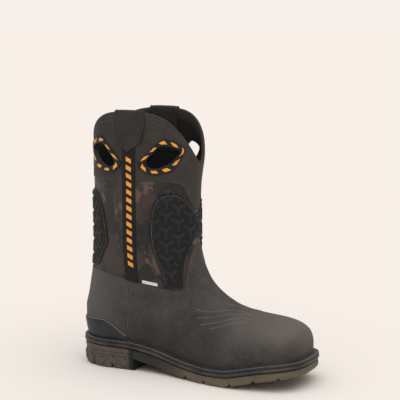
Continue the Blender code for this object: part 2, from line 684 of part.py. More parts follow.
def build_strip(name, side):
    """Webbing down the side of the shaft, stepping up onto the collar leather under the strap."""
    across = np.linspace(0.0, 1.0, 4)
    x = COLLAR_MIDDLE - 0.001 + STRIP_WIDTH * (across - 0.5)
    strap_edge = COLLAR_MIDDLE + STRAP_WIDTH * STRAP_EDGE[0, 1]
    strap_span = STRAP_WIDTH * (STRAP_EDGE[0, 2] - STRAP_EDGE[0, 1])
    top = strap_low((x - strap_edge) / strap_span) - 0.004
    foot = np.array([line_at(FOOT_LINE, place_round(0.55, px, side)) for px in x]) + 0.006
    edge = COLLAR_LINE[6, 1]
    levels = [[], []]
    for share in np.r_[np.linspace(0.0, 0.86, 10), 0.885, 0.92, 1.0]:
        v = foot + (top - foot) * share
        u = place_round(v, x, side)
        climb = COLLAR_STEP * np.clip((v - (edge - 0.020)) / 0.012, 0.0, 1.0)
        for level, thick in zip(levels, (0.0, STRIP_THICK)):
            level.append(on_skin(v, u, GAP + climb + thick))
    add_piece(name, cushion([np.array(level) for level in levels]), "webbing")


def build_tag():
    """Small tag above the foot leather, between strip and front panel."""
    x = np.linspace(0.325, 0.392, 5)[:, None] * SOLE_LENGTH + np.zeros((1, 2))
    v = np.array([0.546, 0.566])[None] + np.zeros((5, 1))
    u = place_round(v, x, -1)
    levels = [on_skin(v, u, np.full(u.shape, GAP)), on_skin(v, u, np.full(u.shape, GAP + TAG_THICK))]
    add_piece("side_tag", cushion(levels), "tag")


def stand_over_origin():
    """Hangs every piece from an empty that brings the middle of the boot's box over the origin."""
    pieces = list(bpy.data.objects)
    points = [vertex.co for piece in pieces if not piece.hide_render for vertex in piece.data.vertices]
    low, high = np.min(points, axis=0), np.max(points, axis=0)
    middle = bpy.data.objects.new("middle", None)
    bpy.context.collection.objects.link(middle)
    middle.location = (-(low[0] + high[0]) / 2, -(low[1] + high[1]) / 2, 0.0)
    for piece in pieces:
        piece.parent = middle


def main():
    for thing in list(bpy.data.objects):
        bpy.data.objects.remove(thing, do_unlink=True)
    build_outsole()
    build_heel()
    build_midsole()
    build_welt()
    build_insole()
    build_upper()
    build_heel_guard()
    build_front_panel()
    build_rear_panel()
    for side, word in ((-1, "lateral"), (1, "medial")):
        build_strap("pull_strap_" + word, side)
        build_strip("side_strip_" + word, side)
        build_hole_frame("hole_frame_front_" + word, 1, side)
        build_hole_frame("hole_frame_rear_" + word, -1, side)
    build_tag()
    stand_over_origin()


main()
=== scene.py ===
"""Western work boot, right foot: its leather, cloth, rubber, seams and studio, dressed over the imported
part. Toe points +X, outer side is -Y, the sole stands on z = 0. Metres."""

import math

import bmesh
import bpy
import numpy as np
from mathutils import Matrix, Vector


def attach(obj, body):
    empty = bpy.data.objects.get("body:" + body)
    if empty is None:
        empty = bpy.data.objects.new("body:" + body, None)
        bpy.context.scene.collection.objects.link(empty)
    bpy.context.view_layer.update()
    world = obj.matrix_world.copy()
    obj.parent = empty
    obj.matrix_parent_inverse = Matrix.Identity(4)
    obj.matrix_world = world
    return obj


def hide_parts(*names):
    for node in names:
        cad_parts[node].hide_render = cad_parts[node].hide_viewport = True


bl_info = {
    "name": "Western work boot",
    "version": (1, 0, 0),
    "blender": (4, 5, 0),
    "location": "3D View > Sidebar > Work boot",
    "description": "Builds the leather, cloth, rubber and stitching of a western work boot",
    "category": "Object",
}

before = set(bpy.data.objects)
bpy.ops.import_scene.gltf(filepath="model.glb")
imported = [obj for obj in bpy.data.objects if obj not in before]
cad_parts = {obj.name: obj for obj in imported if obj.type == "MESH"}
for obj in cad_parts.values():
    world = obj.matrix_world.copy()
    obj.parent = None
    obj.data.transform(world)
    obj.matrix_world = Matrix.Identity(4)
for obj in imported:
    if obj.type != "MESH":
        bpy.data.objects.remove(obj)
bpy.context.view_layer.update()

# Sizes that the solids have too
SOLE_LENGTH = 0.310
BALL_WIDTH = 0.112
HEEL_BLOCK = 0.027
TREAD = 0.0105
MIDSOLE = 0.0055
WELT = 0.003
TOE_SPRING = 0.017
WELT_REACH = 0.008
SWELL = 0.0035
FOOT_RISE = 0.100
SHAFT_RISE = 0.186
SHAFT_WIDTH = 0.094
COLLAR_DIP = 0.053
ARCH_SQUARE, ARCH_ROUND = 3.2, 1.5
WALL = 0.0024
FOOT_STEP = 0.0012
COLLAR_STEP = 0.0008
GAP = 0.0003
GROOVE_DEPTH = 0.004
GROOVE_WIDTH = 0.005
HEEL_BREAST = 0.275
HOLE_LENGTH = 0.039
HOLE_HEIGHT = 0.029
HOLE_SPREAD = 0.0408
HOLE_LEVEL = 0.270
COLLAR_MIDDLE = 0.0875
STRAP_WIDTH = 0.044
STRAP_THICK = 0.0018
STRIP_WIDTH = 0.018
STRIP_THICK = 0.0011
PANEL_THICK = 0.0018
SEAT_PLAY = 0.0005
GUARD_THICK = 0.0018
FRAME_THICK = 0.0012
TAG_THICK = 0.0008
MIDDLE = np.array([0.15503, 0.00117, 0.0])
# Ring share at which the collar and the straps start to fold over the top
FOLD = 0.9955
# How far a thread's middle stands proud of what it is sewn in
THREAD_LIFT = 0.0001
# Where the spine of the sole's flat faces ends under the toe, and at the back
TOE_SPINE, BACK_SPINE = 0.262, 0.034
# Degrees between two faces from which their edge is shaded sharp
SHARP_CORNER = 40
# Shares of a strap's length at which it goes over the collar and has come round it
STRAP_OVER, STRAP_ROUND = 0.62, 0.72

# Sole outline: share of length; half widths, outer and inner, as shares of ball width
OUTLINE = np.array([
    (0.00, 0.335, 0.335), (0.14, 0.342, 0.335), (0.28, 0.330, 0.312), (0.40, 0.345, 0.300),
    (0.54, 0.415, 0.345), (0.66, 0.480, 0.440), (0.75, 0.495, 0.500), (0.86, 0.460, 0.515),
    (0.95, 0.405, 0.490), (1.00, 0.380, 0.470)])
HEEL_FADE, HEEL_SQUARE = 0.125, 2.1

# Sole side view: share of length; share of the heel lift; share of toe spring; tread thickness share
SEAT = np.array([
    (0.00, 1.06, 0.00, 1.00), (0.10, 1.01, 0.00, 1.00), (0.22, 0.99, 0.00, 1.00),
    (0.34, 0.78, 0.00, 1.20), (0.46, 0.31, 0.00, 1.15), (0.56, 0.06, 0.00, 1.08),
    (0.62, 0.00, 0.00, 1.06), (0.70, 0.00, 0.06, 1.12), (0.78, 0.00, 0.36, 1.00),
    (0.88, 0.00, 0.73, 0.95), (1.00, 0.00, 1.00, 0.85)])

# Rings of the upper from the welt to the collar. Columns: number; front place (share of length) and
# height (1 = top of the foot, 2 = a shaft rise above it); back place and height; depth of the front
# rounding (share of length) and its squareness; swell; how far shaft replaces foot; shaft half
# widths, outer and inner (shares of shaft width); share of the collar's scallop.
RINGS = np.array([
    (0, 0.974, 0.000, 0.026, 0.00, 0.112, 3.00, 0.0, 0.00, 0.500, 0.50, 0.00),
    (1, 0.974, 0.130, 0.018, 0.13, 0.115, 2.80, 0.8, 0.00, 0.500, 0.50, 0.00),
    (2, 0.963, 0.280, 0.012, 0.27, 0.125, 2.50, 1.0, 0.00, 0.500, 0.50, 0.00),
    (3, 0.926, 0.405, 0.012, 0.37, 0.140, 2.30, 0.9, 0.03, 0.500, 0.50, 0.00),
    (4, 0.860, 0.485, 0.017, 0.45, 0.155, 2.15, 0.8, 0.10, 0.500, 0.50, 0.00),
    (5, 0.775, 0.570, 0.026, 0.54, 0.170, 2.05, 0.6, 0.22, 0.480, 0.48, 0.00),
    (6, 0.680, 0.680, 0.034, 0.70, 0.185, 2.00, 0.4, 0.42, 0.460, 0.46, 0.00),
    (7, 0.600, 0.820, 0.043, 0.87, 0.200, 2.00, 0.2, 0.66, 0.450, 0.45, 0.00),
    (8, 0.545, 0.970, 0.051, 0.99, 0.210, 2.00, 0.0, 0.86, 0.455, 0.455, 0.00),
    (9, 0.514, 1.120, 0.055, 1.12, 0.220, 2.05, 0.0, 1.00, 0.465, 0.47, 0.06),
    (10, 0.503, 1.290, 0.055, 1.27, 0.225, 2.10, 0.0, 1.00, 0.480, 0.49, 0.20),
    (11, 0.503, 1.450, 0.053, 1.45, 0.230, 2.10, 0.0, 1.00, 0.480, 0.50, 0.50),
    (12, 0.508, 1.600, 0.052, 1.62, 0.230, 2.10, 0.0, 1.00, 0.475, 0.50, 0.80),
    (13, 0.521, 1.760, 0.053, 1.78, 0.230, 2.10, 0.0, 1.00, 0.470, 0.50, 1.00)])
RING_COLUMNS = ("number", "front", "front_up", "back", "back_up", "fade", "square", "swell", "shaft",
                "outer", "inner", "scallop")

# Upper edge of the foot leather: place round the ring (0 front, 1 back), ring share
FOOT_LINE = np.array([
    (0.00, 0.735), (0.05, 0.728), (0.09, 0.695), (0.13, 0.655), (0.17, 0.600), (0.21, 0.548),
    (0.30, 0.538), (0.45, 0.540), (0.60, 0.548), (0.80, 0.560), (1.00, 0.565)])
# Lower edge of the collar leather: place round the ring, ring share
COLLAR_LINE = np.array([
    (0.00, 0.838), (0.05, 0.846), (0.10, 0.872), (0.15, 0.888), (0.28, 0.876), (0.42, 0.868),
    (0.48, 0.880), (0.58, 0.880), (0.64, 0.862), (0.80, 0.872), (1.00, 0.885)])
# Front panel: place and ring share of its inner edge, then of its outer edge, foot to ridge
FRONT_PANEL = np.array([
    (0.217, 0.560, 0.324, 0.556), (0.196, 0.590, 0.322, 0.590), (0.166, 0.640, 0.307, 0.640),
    (0.136, 0.684, 0.333, 0.690), (0.105, 0.712, 0.352, 0.750), (0.076, 0.732, 0.346, 0.805),
    (0.050, 0.744, 0.300, 0.844), (0.030, 0.750, 0.180, 0.861), (0.015, 0.752, 0.080, 0.846),
    (0.000, 0.752, 0.000, 0.828)])
# Rear panel: ring share, half width as a share of half the ring
REAR_PANEL = np.array([
    (0.575, 0.12), (0.582, 0.17), (0.60, 0.21), (0.63, 0.235), (0.67, 0.27), (0.715, 0.32),
    (0.775, 0.30), (0.812, 0.265), (0.836, 0.22), (0.848, 0.14)])
# Heel guard: share of length, ring share of its upper edge
HEEL_GUARD = np.array([
    (0.018, 0.130), (0.080, 0.132), (0.145, 0.138), (0.165, 0.122), (0.194, 0.092), (0.226, 0.050),
    (0.238, 0.042)])
# Pull strap: share of its length, front and rear edge as shares of strap width from its middle
STRAP_EDGE = np.array([(0.00, -0.38, 0.36), (0.30, -0.43, 0.42), (0.75, -0.51, 0.49), (1.00, -0.46, 0.45)])
# Pull strap lower edge: place across, height as a share of collar height
STRAP_TIP = np.array([(0.00, 0.882), (0.45, 0.845), (1.00, 0.880)])
# Cut-out and its frame: along (away from the strap) and up, shares of hole length and height
HOLE = np.array([
    (-0.50, -0.24), (-0.25, 0.18), (0.06, 0.48), (0.50, 0.28), (0.41, -0.05), (0.21, -0.31),
    (-0.17, -0.51), (-0.42, -0.44)])
FRAME = np.array([
    (-0.74, -0.27), (-0.32, 0.31), (0.10, 0.76), (0.58, 0.42), (0.53, -0.03), (0.26, -0.61),
    (-0.32, -0.75), (-0.60, -0.58)])
# Grooves across the bottom, shares of length
FOREFOOT_GROOVES = (0.525, 0.615, 0.730, 0.825, 0.920)
HEEL_GROOVES = (0.090, 0.180)

# Seams on the foot leather in side view, place along and height
SIDE_SEAM = np.array([(0.0832, 0.1125), (0.0782, 0.085), (0.0742, 0.062), (0.0757, 0.048), (0.0785, 0.040)])
COUNTER_SEAM = np.array([(0.0440, 0.0880), (0.0475, 0.0820), (0.0500, 0.0745), (0.0508, 0.0670),
                         (0.0490, 0.0610)])

# Creases where the leather bends over the ankle: middle in side view, direction in degrees, length, width
# and share of the full depth
CREASES = (
    (0.168, 0.112, -50, 0.030, 0.0050, 1.0), (0.180, 0.098, -42, 0.034, 0.0060, 0.8),
    (0.152, 0.130, -66, 0.024, 0.0050, 0.8), (0.120, 0.085, -75, 0.030, 0.0090, 0.7),
    (0.196, 0.074, -30, 0.032, 0.0080, 0.6), (0.040, 0.100, 80, 0.022, 0.0070, 0.6))
# Rows of the stitched ornament on the vamp, in plan: place along and across
VAMP_STITCHES = [np.array(path) for path in (
    ((0.172, 0.0320), (0.184, 0.0300), (0.198, 0.0245), (0.211, 0.0165), (0.225, 0.0110), (0.238, 0.0125)),
    ((0.176, 0.0355), (0.188, 0.0335), (0.201, 0.0285), (0.214, 0.0210), (0.226, 0.0155), (0.238, 0.0125)),
    ((0.182, 0.0385), (0.193, 0.0365), (0.206, 0.0320), (0.219, 0.0255), (0.230, 0.0215), (0.240, 0.0210)),
    ((0.193, 0.0400), (0.204, 0.0375), (0.215, 0.0330), (0.226, 0.0285), (0.236, 0.0265)),
    ((0.198, 0.0120), (0.207, 0.0080), (0.217, 0.0040), (0.227, 0.0020)))]


# ---------------------------------------------------------------- the boot's skin

def smooth(table, at, column):
    """Monotone cubic through one column of a table, against its first column."""
    x, y = table[:, 0], table[:, column]
    step, slope = np.diff(x), np.diff(y) / np.diff(x)
    tangent = np.zeros_like(y)
    w1, w2 = 2 * step[1:] + step[:-1], step[1:] + 2 * step[:-1]
    same = slope[:-1] * slope[1:] > 0
    before, after = np.where(same, slope[:-1], 1.0), np.where(same, slope[1:], 1.0)
    tangent[1:-1] = np.where(same, (w1 + w2) / (w1 / before + w2 / after), 0.0)
    tangent[0], tangent[-1] = slope[0], slope[-1]
    at = np.asarray(at, float)
    i = np.clip(np.searchsorted(x, at) - 1, 0, len(x) - 2)
    t = np.clip((at - x[i]) / step[i], 0.0, 1.0)
    return ((1 + 2 * t) * (1 - t) ** 2 * y[i] + t * (1 - t) ** 2 * step[i] * tangent[i]
            + t * t * (3 - 2 * t) * y[i + 1] + t * t * (t - 1) * step[i] * tangent[i + 1])


def rounding(depth, power):
    """Rises from 0 at the edge to 1 once depth reaches 1."""
    depth = np.clip(depth, 0.0, 1.0)
    return (1 - (1 - depth) ** power) ** (1 / power)


def eased(value, low, high):
    """Smooth step from 0 at low to 1 at high."""
    t = np.clip((value - low) / (high - low), 0.0, 1.0)
    return t * t * (3 - 2 * t)


def tread_top(x):
    """Height of the tread's top at a place along the sole."""
    share = np.asarray(x, float) / SOLE_LENGTH
    lift = (HEEL_BLOCK - TREAD) * smooth(SEAT, share, 1)
    return TREAD + lift + TOE_SPRING * smooth(SEAT, share, 2)


def feather(x):
    """Height of the welt's top, where the upper starts."""
    return tread_top(x) + MIDSOLE + WELT


def ring_size(v, name):
    """One column of the ring table at ring share v."""
    return smooth(RINGS, np.asarray(v, float) * (len(RINGS) - 1), RING_COLUMNS.index(name))


def profile_height(x, up):
    """Height over a place in side view: up is 1 on top of the foot, and 2 a shaft rise above it."""
    return feather(x) + FOOT_RISE * np.minimum(up, 1.0) + SHAFT_RISE * np.maximum(up - 1.0, 0.0)


def front_point(v):
    """Where a ring crosses the front of the boot."""
    x = ring_size(v, "front") * SOLE_LENGTH
    return x, profile_height(x, ring_size(v, "front_up"))


def back_point(v):
    """Where a ring crosses the back of the boot."""
    x = ring_size(v, "back") * SOLE_LENGTH
    return x, profile_height(x, ring_size(v, "back_up"))


# The skin is sampled at these ring shares, and at HALF steps along each side of a ring
LEVELS = np.linspace(0.0, 1.0, 261)
HALF = 240
FRONT_LINE = np.stack(front_point(LEVELS), 1)
FRONT_LINE = np.r_[FRONT_LINE, FRONT_LINE[-1:] + [[0.004, 0.1]]]
BACK_LINE = np.stack(back_point(LEVELS), 1)


def front_depth(x, z):
    """Distance behind the front line, and the ring share of the nearest point on it."""
    start, run = FRONT_LINE[:-1], np.diff(FRONT_LINE, axis=0)
    away = np.stack([x, z], 1)[:, None] - start
    t = np.clip((away * run).sum(2) / (run * run).sum(1), 0.0, 1.0)
    gap = np.linalg.norm(away - t[..., None] * run, axis=2)
    k = gap.argmin(1)
    at = (k + t[np.arange(len(k)), k]) / (len(LEVELS) - 1)
    return gap.min(1), np.minimum(at, 1.0)


def ring_height(v, x):
    """Height of a ring over a place in side view: level, sagging with the sole, scalloped on top."""
    front_x, front_z = front_point(v)
    back_x, back_z = back_point(v)
    share = np.clip((x - back_x) / (front_x - back_x), 0.0, 1.0)
    level = back_z + (front_z - back_z) * share
    sag = feather(x) - feather(back_x) - (feather(front_x) - feather(back_x)) * share
    level = level + sag * np.maximum(0.0, 1 - v / 0.6) ** 1.5
    scallop = ring_size(v, "scallop")
    peak = 0.5 * (back_z + front_z) + COLLAR_DIP * scallop
    dome = (1 - np.abs(2 * share - 1) ** ARCH_SQUARE) ** (1 / ARCH_ROUND)
    end = np.where(share > 0.5, front_z, back_z)
    return level + scallop * (end + (peak - end) * dome - level)


def half_width(v, x, z, side):
    """Distance of the skin from the middle plane."""
    depth, at = front_depth(x, z)
    front = rounding(depth / (ring_size(at, "fade") * SOLE_LENGTH), ring_size(at, "square"))
    shaft = ring_size(v, "shaft")
    back_fade = HEEL_FADE * (1 - shaft) + ring_size(v, "fade") * shaft
    back_x = np.interp(z, BACK_LINE[:, 1], BACK_LINE[:, 0])
    back = rounding((x - back_x) / (back_fade * SOLE_LENGTH), HEEL_SQUARE)
    foot = BALL_WIDTH * smooth(OUTLINE, x / SOLE_LENGTH, 1 if side < 0 else 2) - WELT_REACH
    foot = foot + SWELL * ring_size(v, "swell")
    leg = SHAFT_WIDTH * ring_size(v, "outer" if side < 0 else "inner")
    return ((1 - shaft) * foot + shaft * leg) * front * back


def half_ring(v, side, count):
    """Points evenly spaced along one side of a ring, front to back."""
    share = 0.5 + 0.5 * np.cos(np.linspace(0.0, math.pi, 360))
    front_x, back_x = front_point(v)[0], back_point(v)[0]
    x = back_x + (front_x - back_x) * share
    z = ring_height(v, x)
    y = side * half_width(v, x, z, side)
    y[0] = y[-1] = 0.0
    line = np.stack([x, y, z], 1)
    along = np.r_[0.0, np.cumsum(np.linalg.norm(np.diff(line, axis=0), axis=1))]
    want = np.linspace(0.0, along[-1], count)
    return np.stack([np.interp(want, along, line[:, k]) for k in range(3)], 1)


def full_ring(v):
    """Closed ring: front, outer side, back, inner side."""
    outer, inner = half_ring(v, -1, HALF + 1), half_ring(v, 1, HALF + 1)
    return np.r_[outer, inner[-2:0:-1]]


def evened(skin, count):
    """Rings averaged with their neighbours, a bell-shaped weight over count levels."""
    weights = np.hanning(count + 2)[1:-1]
    reach = count // 2
    ends = np.concatenate([skin[:1].repeat(reach, axis=0), skin, skin[-1:].repeat(reach, axis=0)])
    return sum(w * ends[k:k + len(skin)] for k, w in enumerate(weights / weights.sum()))


def softened(skin):
    """Evens out the small turns from ring to ring, most of all over the instep, and leaves the welt and
    the collar where they are."""
    for count, first, full, still, last in ((33, 0.10, 0.22, 0.84, 0.93), (61, 0.26, 0.38, 0.60, 0.72)):
        share = eased(LEVELS, first, full) * (1 - eased(LEVELS, still, last))
        skin = skin + (evened(skin, count) - skin) * share[:, None, None]
    return skin


SKIN = softened(np.array([full_ring(v) for v in LEVELS]))


def skin_normals():
    """Outward directions at the skin's samples."""
    across = np.roll(SKIN, -2, axis=1) - np.roll(SKIN, 2, axis=1)
    up = np.gradient(SKIN, axis=0)
    normal = np.cross(up, across)
    return normal / np.linalg.norm(normal, axis=2, keepdims=True)


NORMALS = skin_normals()


def cubic_shares(t):
    """Weights of the four samples round a place, for a smooth curve through them."""
    return (0.5 * t * ((2 - t) * t - 1), 0.5 * (t * t * (3 * t - 5) + 2),
            0.5 * t * ((4 - 3 * t) * t + 1), 0.5 * (t - 1) * t * t)


def sample(field, v, u):
    """Value of a skin field at ring share v and place u (0 front, -1 and 1 back, outer side below 0)."""
    v, u = np.broadcast_arrays(np.asarray(v, float), np.asarray(u, float))
    row = np.clip(v, 0.0, 1.0) * (len(LEVELS) - 1)
    col = np.mod(-u, 2.0) * HALF
    i = np.clip(row.astype(int), 0, len(LEVELS) - 2)
    j = np.floor(col).astype(int)
    rows, cols = cubic_shares(row - i), cubic_shares(col - j)
    total = 0.0
    for m in range(4):
        at = np.clip(i + m - 1, 0, len(LEVELS) - 1)
        for n in range(4):
            total = total + (rows[m] * cols[n])[..., None] * field[at, (j + n - 1) % (2 * HALF)]
    return total


def on_skin(v, u, lift):
    """Point on the skin, moved outwards by lift."""
    normal = sample(NORMALS, v, u)
    normal = normal / np.linalg.norm(normal, axis=-1, keepdims=True)
    return sample(SKIN, v, u) + normal * np.asarray(lift, float)[..., None]


def halved(reached, low, high):
    """Value between low and high where a rising yes or no test turns, for arrays."""
    for _ in range(26):
        middle = 0.5 * (low + high)
        past = reached(middle)
        low, high = np.where(past, low, middle), np.where(past, middle, high)
    return 0.5 * (low + high)


def place_round(v, x, side):
    """Place round the ring of share v that lies at x in side view."""
    v, x = np.broadcast_arrays(np.asarray(v, float), np.asarray(x, float))
    return side * halved(lambda u: sample(SKIN, v, side * u)[..., 0] <= x, np.zeros(x.shape),
                         np.ones(x.shape))


def ring_at(x, z):
    """Ring share whose height over x is z."""
    x, z = np.broadcast_arrays(np.asarray(x, float), np.asarray(z, float))
    return halved(lambda v: ring_height(v, x) >= z, np.zeros(x.shape), np.ones(x.shape))


def line_at(table, u):
    """Ring share of an edge line at places u, rounded a little at its corners."""
    u = np.abs((np.asarray(u, float) + 1.0) % 2.0 - 1.0)
    return sum(np.interp(np.abs(u + shift), table[:, 0], table[:, 1]) for shift in (-0.012, 0.0, 0.012)) / 3


def side_distance(x, z, line):
    """Distance in side view from points to a smooth line, and which side of it they are on."""
    t = np.linspace(0.0, 1.0, len(line))
    fine = np.linspace(0.0, 1.0, 60)
    path = np.stack([smooth(np.c_[t, line], fine, k) for k in (1, 2)], 1)
    start, run = path[:-1], np.diff(path, axis=0)
    away = np.stack([x, z], -1)[..., None, :] - start
    along = np.clip((away * run).sum(-1) / (run * run).sum(-1), 0.0, 1.0)
    rest = away - along[..., None] * run
    gap = np.linalg.norm(rest, axis=-1)
    k = gap.argmin(-1)
    pick = np.take_along_axis
    cross = run[k, 0] * pick(rest, k[..., None, None], -2)[..., 0, 1]
    cross = cross - run[k, 1] * pick(rest, k[..., None, None], -2)[..., 0, 0]
    return gap.min(-1), np.sign(cross)


# ---------------------------------------------------------------- making meshes

def grid_piece(name, points, rise=None):
    """Closed object from rows and columns of points whose borders meet. The share of relief at each point
    can be kept with it for its material."""
    points = np.asarray(points) - MIDDLE
    shape = bmesh.new()
    shape.loops.layers.uv.new("UVMap")
    bmesh.ops.create_grid(shape, x_segments=points.shape[1] - 1, y_segments=points.shape[0] - 1, size=0.5,
                          calc_uvs=True)
    for vertex, point in zip(shape.verts, points.reshape(-1, 3)):
        vertex.co = point
    if rise is not None:
        relief = shape.verts.layers.float.new("relief")
        for vertex, share in zip(shape.verts, np.ravel(rise)):
            vertex[relief] = share
    bmesh.ops.remove_doubles(shape, verts=shape.verts, dist=2e-6)
    bmesh.ops.dissolve_degenerate(shape, edges=shape.edges, dist=1e-7)
    bmesh.ops.recalc_face_normals(shape, faces=shape.faces)
    return piece_from(name, shape)


def padded_shut(face, back):
    """Rows of a face and then of a back whose borders meet, ready to be merged into one closed skin."""
    return np.concatenate([face, back[::-1], face[:1]])


def measured(piece, across, along):
    """Turns a grid's even UV map into metres, from the place of each column and of each row."""
    layer = piece.data.uv_layers[0].data
    flat = np.empty(len(layer) * 2)
    layer.foreach_get("uv", flat)
    x = np.interp(flat[0::2], np.linspace(0.0, 1.0, len(across)), across)
    y = np.interp(flat[1::2], np.linspace(0.0, 1.0, len(along)), along)
    layer.foreach_set("uv", np.stack([x, y], 1).ravel())
    return piece


def mapped_from_side(piece, x, z):
    """UV map in metres as seen from the side, counted from a place along and a height."""
    layer, points = piece.data.uv_layers[0].data, piece.data.vertices
    for loop in piece.data.loops:
        spot = points[loop.vertex_index].co
        layer[loop.index].uv = (spot.x + MIDDLE[0] - x, spot.z - z)
    return piece


def band_piece(name, face, back, rise=None):
    """Closed band from its face and back. Its UV map in metres starts at the face's first corner."""
    piece = grid_piece(name, padded_shut(face, back), rise=rise)
    across = np.r_[0.0, np.cumsum(np.linalg.norm(np.diff(face, axis=1), axis=2).mean(axis=0))]
    along = np.r_[0.0, np.cumsum(np.linalg.norm(np.diff(face, axis=0), axis=2).mean(axis=1))]
    rear = along[-1] + 0.002 + np.interp(np.linspace(0, 1, len(back)), np.linspace(0, 1, len(along)), along)
    return measured(piece, across, np.r_[along, rear, rear[-1] + 0.002])


def piece_from(name, shape):
    """Object made from a bmesh, shaded smooth except at sharp corners."""
    mesh = bpy.data.meshes.new(name)
    shape.to_mesh(mesh)
    shape.free()
    mesh.shade_smooth()
    mesh.set_sharp_from_angle(angle=math.radians(SHARP_CORNER))
    piece = bpy.data.objects.new(name, mesh)
    bpy.context.scene.collection.objects.link(piece)
    return piece


def dressed(piece, paint, slot, *nodes):
    """Paints a finished piece, hangs it on the boot and hides the solids that it stands for."""
    piece.data.materials.clear()
    piece.data.materials.append(paint)
    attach(piece, "root")
    if nodes:
        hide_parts(*nodes)
    return piece


def arc_length(points):
    """Distance along a line to each of its points."""
    return np.r_[0.0, np.cumsum(np.linalg.norm(np.diff(points, axis=0), axis=1))]


def stitch_row(shape, points, normals, pitch, length, width):
    """Adds one stitch after another along a line of points, each a short rounded thread."""
    along = arc_length(points)
    count = max(2, int(along[-1] / pitch))
    row = bmesh.new()
    for at in (np.arange(count) + 0.5) * along[-1] / count:
        if len(row.verts) > 1500:
            row = moved_over(row, shape)
        spot, ahead, behind = (np.array([np.interp(at + d, along, points[:, k]) for k in range(3)])
                               for d in (0.0, 0.3 * length, -0.3 * length))
        out = Vector([np.interp(at, along, normals[:, k]) for k in range(3)]).normalized()
        run = Vector(ahead - behind).normalized()
        side = out.cross(run).normalized()
        turn = Matrix((run * length, side * width, run.cross(side) * width * 0.8)).transposed().to_4x4()
        turn.translation = Vector(spot - MIDDLE)
        bmesh.ops.create_uvsphere(row, u_segments=6, v_segments=5, radius=0.5, matrix=turn)
    moved_over(row, shape).free()


def moved_over(row, shape):
    """Adds a short row to the whole, which keeps each stitch quick to make, and starts a new one."""
    mesh = bpy.data.meshes.new("row")
    row.to_mesh(mesh)
    row.free()
    shape.from_mesh(mesh)
    bpy.data.meshes.remove(mesh)
    return bmesh.new()


def skin_row(shape, v, u, lift, pitch, length, width, leather=False):
    """Stitches along a line on the skin, following the foot leather's creases where they are sewn in it."""
    v, u = np.broadcast_arrays(v, u)
    lift = np.full(v.shape, lift) + (foot_relief(sample(SKIN, v, u)) if leather else 0.0)
    points = on_skin(v, u, lift)
    stitch_row(shape, points, points - on_skin(v, u, lift - 0.001), pitch, length, width)


def side_row(shape, line, side, lift, pitch, length, width):
    """Stitches along a smooth line given in side view."""
    t, fine = np.linspace(0.0, 1.0, len(line)), np.linspace(0.0, 1.0, 50)
    x, z = (smooth(np.c_[t, line], fine, k) for k in (1, 2))
    v = ring_at(x, z)
    skin_row(shape, v, place_round(v, x, side), lift, pitch, length, width, True)


def top_row(shape, path, pitch, length, width):
    """Stitches along a path given in plan on top of the vamp."""
    t, fine = np.linspace(0.0, 1.0, len(path)), np.linspace(0.0, 1.0, 40)
    x, y = (smooth(np.c_[t, path], fine, k) for k in (1, 2))
    side = 1 if y.mean() > 0 else -1
    reached = (lambda v: np.abs(sample(SKIN, v, place_round(v, x, side))[..., 1]) <= np.abs(y))
    ahead = np.interp(x, FRONT_LINE[200:10:-1, 0], LEVELS[200:10:-1])
    v = halved(reached, np.full(x.shape, 0.15), ahead)
    skin_row(shape, v, place_round(v, x, side), FOOT_STEP + THREAD_LIFT, pitch, length, width, True)


# ---------------------------------------------------------------- colours and materials

def linear(text):
    """Linear colour with full alpha from an sRGB hex value."""
    parts = [int(text[k:k + 2], 16) / 255 for k in (1, 3, 5)]
    return tuple(p / 12.92 if p <= 0.04045 else ((p + 0.055) / 1.055) ** 2.4 for p in parts) + (1.0,)


def node(tree, kind, inputs=(), **settings):
    """Adds a node with its settings, and values or links for its inputs."""
    made = tree.nodes.new("ShaderNode" + kind)
    for name, value in settings.items():
        setattr(made, name, value)
    for name, value in dict(inputs).items():
        if isinstance(value, bpy.types.NodeSocket):
            tree.links.new(value, made.inputs[name])
        else:
            made.inputs[name].default_value = value
    return made


def blank(name, roughness, ior=1.5):
    """New material with its node tree and shader."""
    paint = bpy.data.materials.new(name)
    paint.use_nodes = True
    shader = paint.node_tree.nodes["Principled BSDF"]
    shader.inputs["Roughness"].default_value = roughness
    shader.inputs["IOR"].default_value = ior
    shader.inputs["Specular IOR Level"].default_value = 0.25
    return paint, paint.node_tree, shader


def ramp(tree, value, stops):
    """Colour ramp over a value; stops are places and colours."""
    made = node(tree, "ValToRGB", {"Fac": value})
    points = made.color_ramp.elements
    while len(points) < len(stops):
        points.new(0.5)
    for point, (place, colour) in zip(points, stops):
        point.position = place
        point.color = colour
    return made.outputs["Color"]


def grey(value):
    """Colour for a mask."""
    return (value, value, value, 1.0)


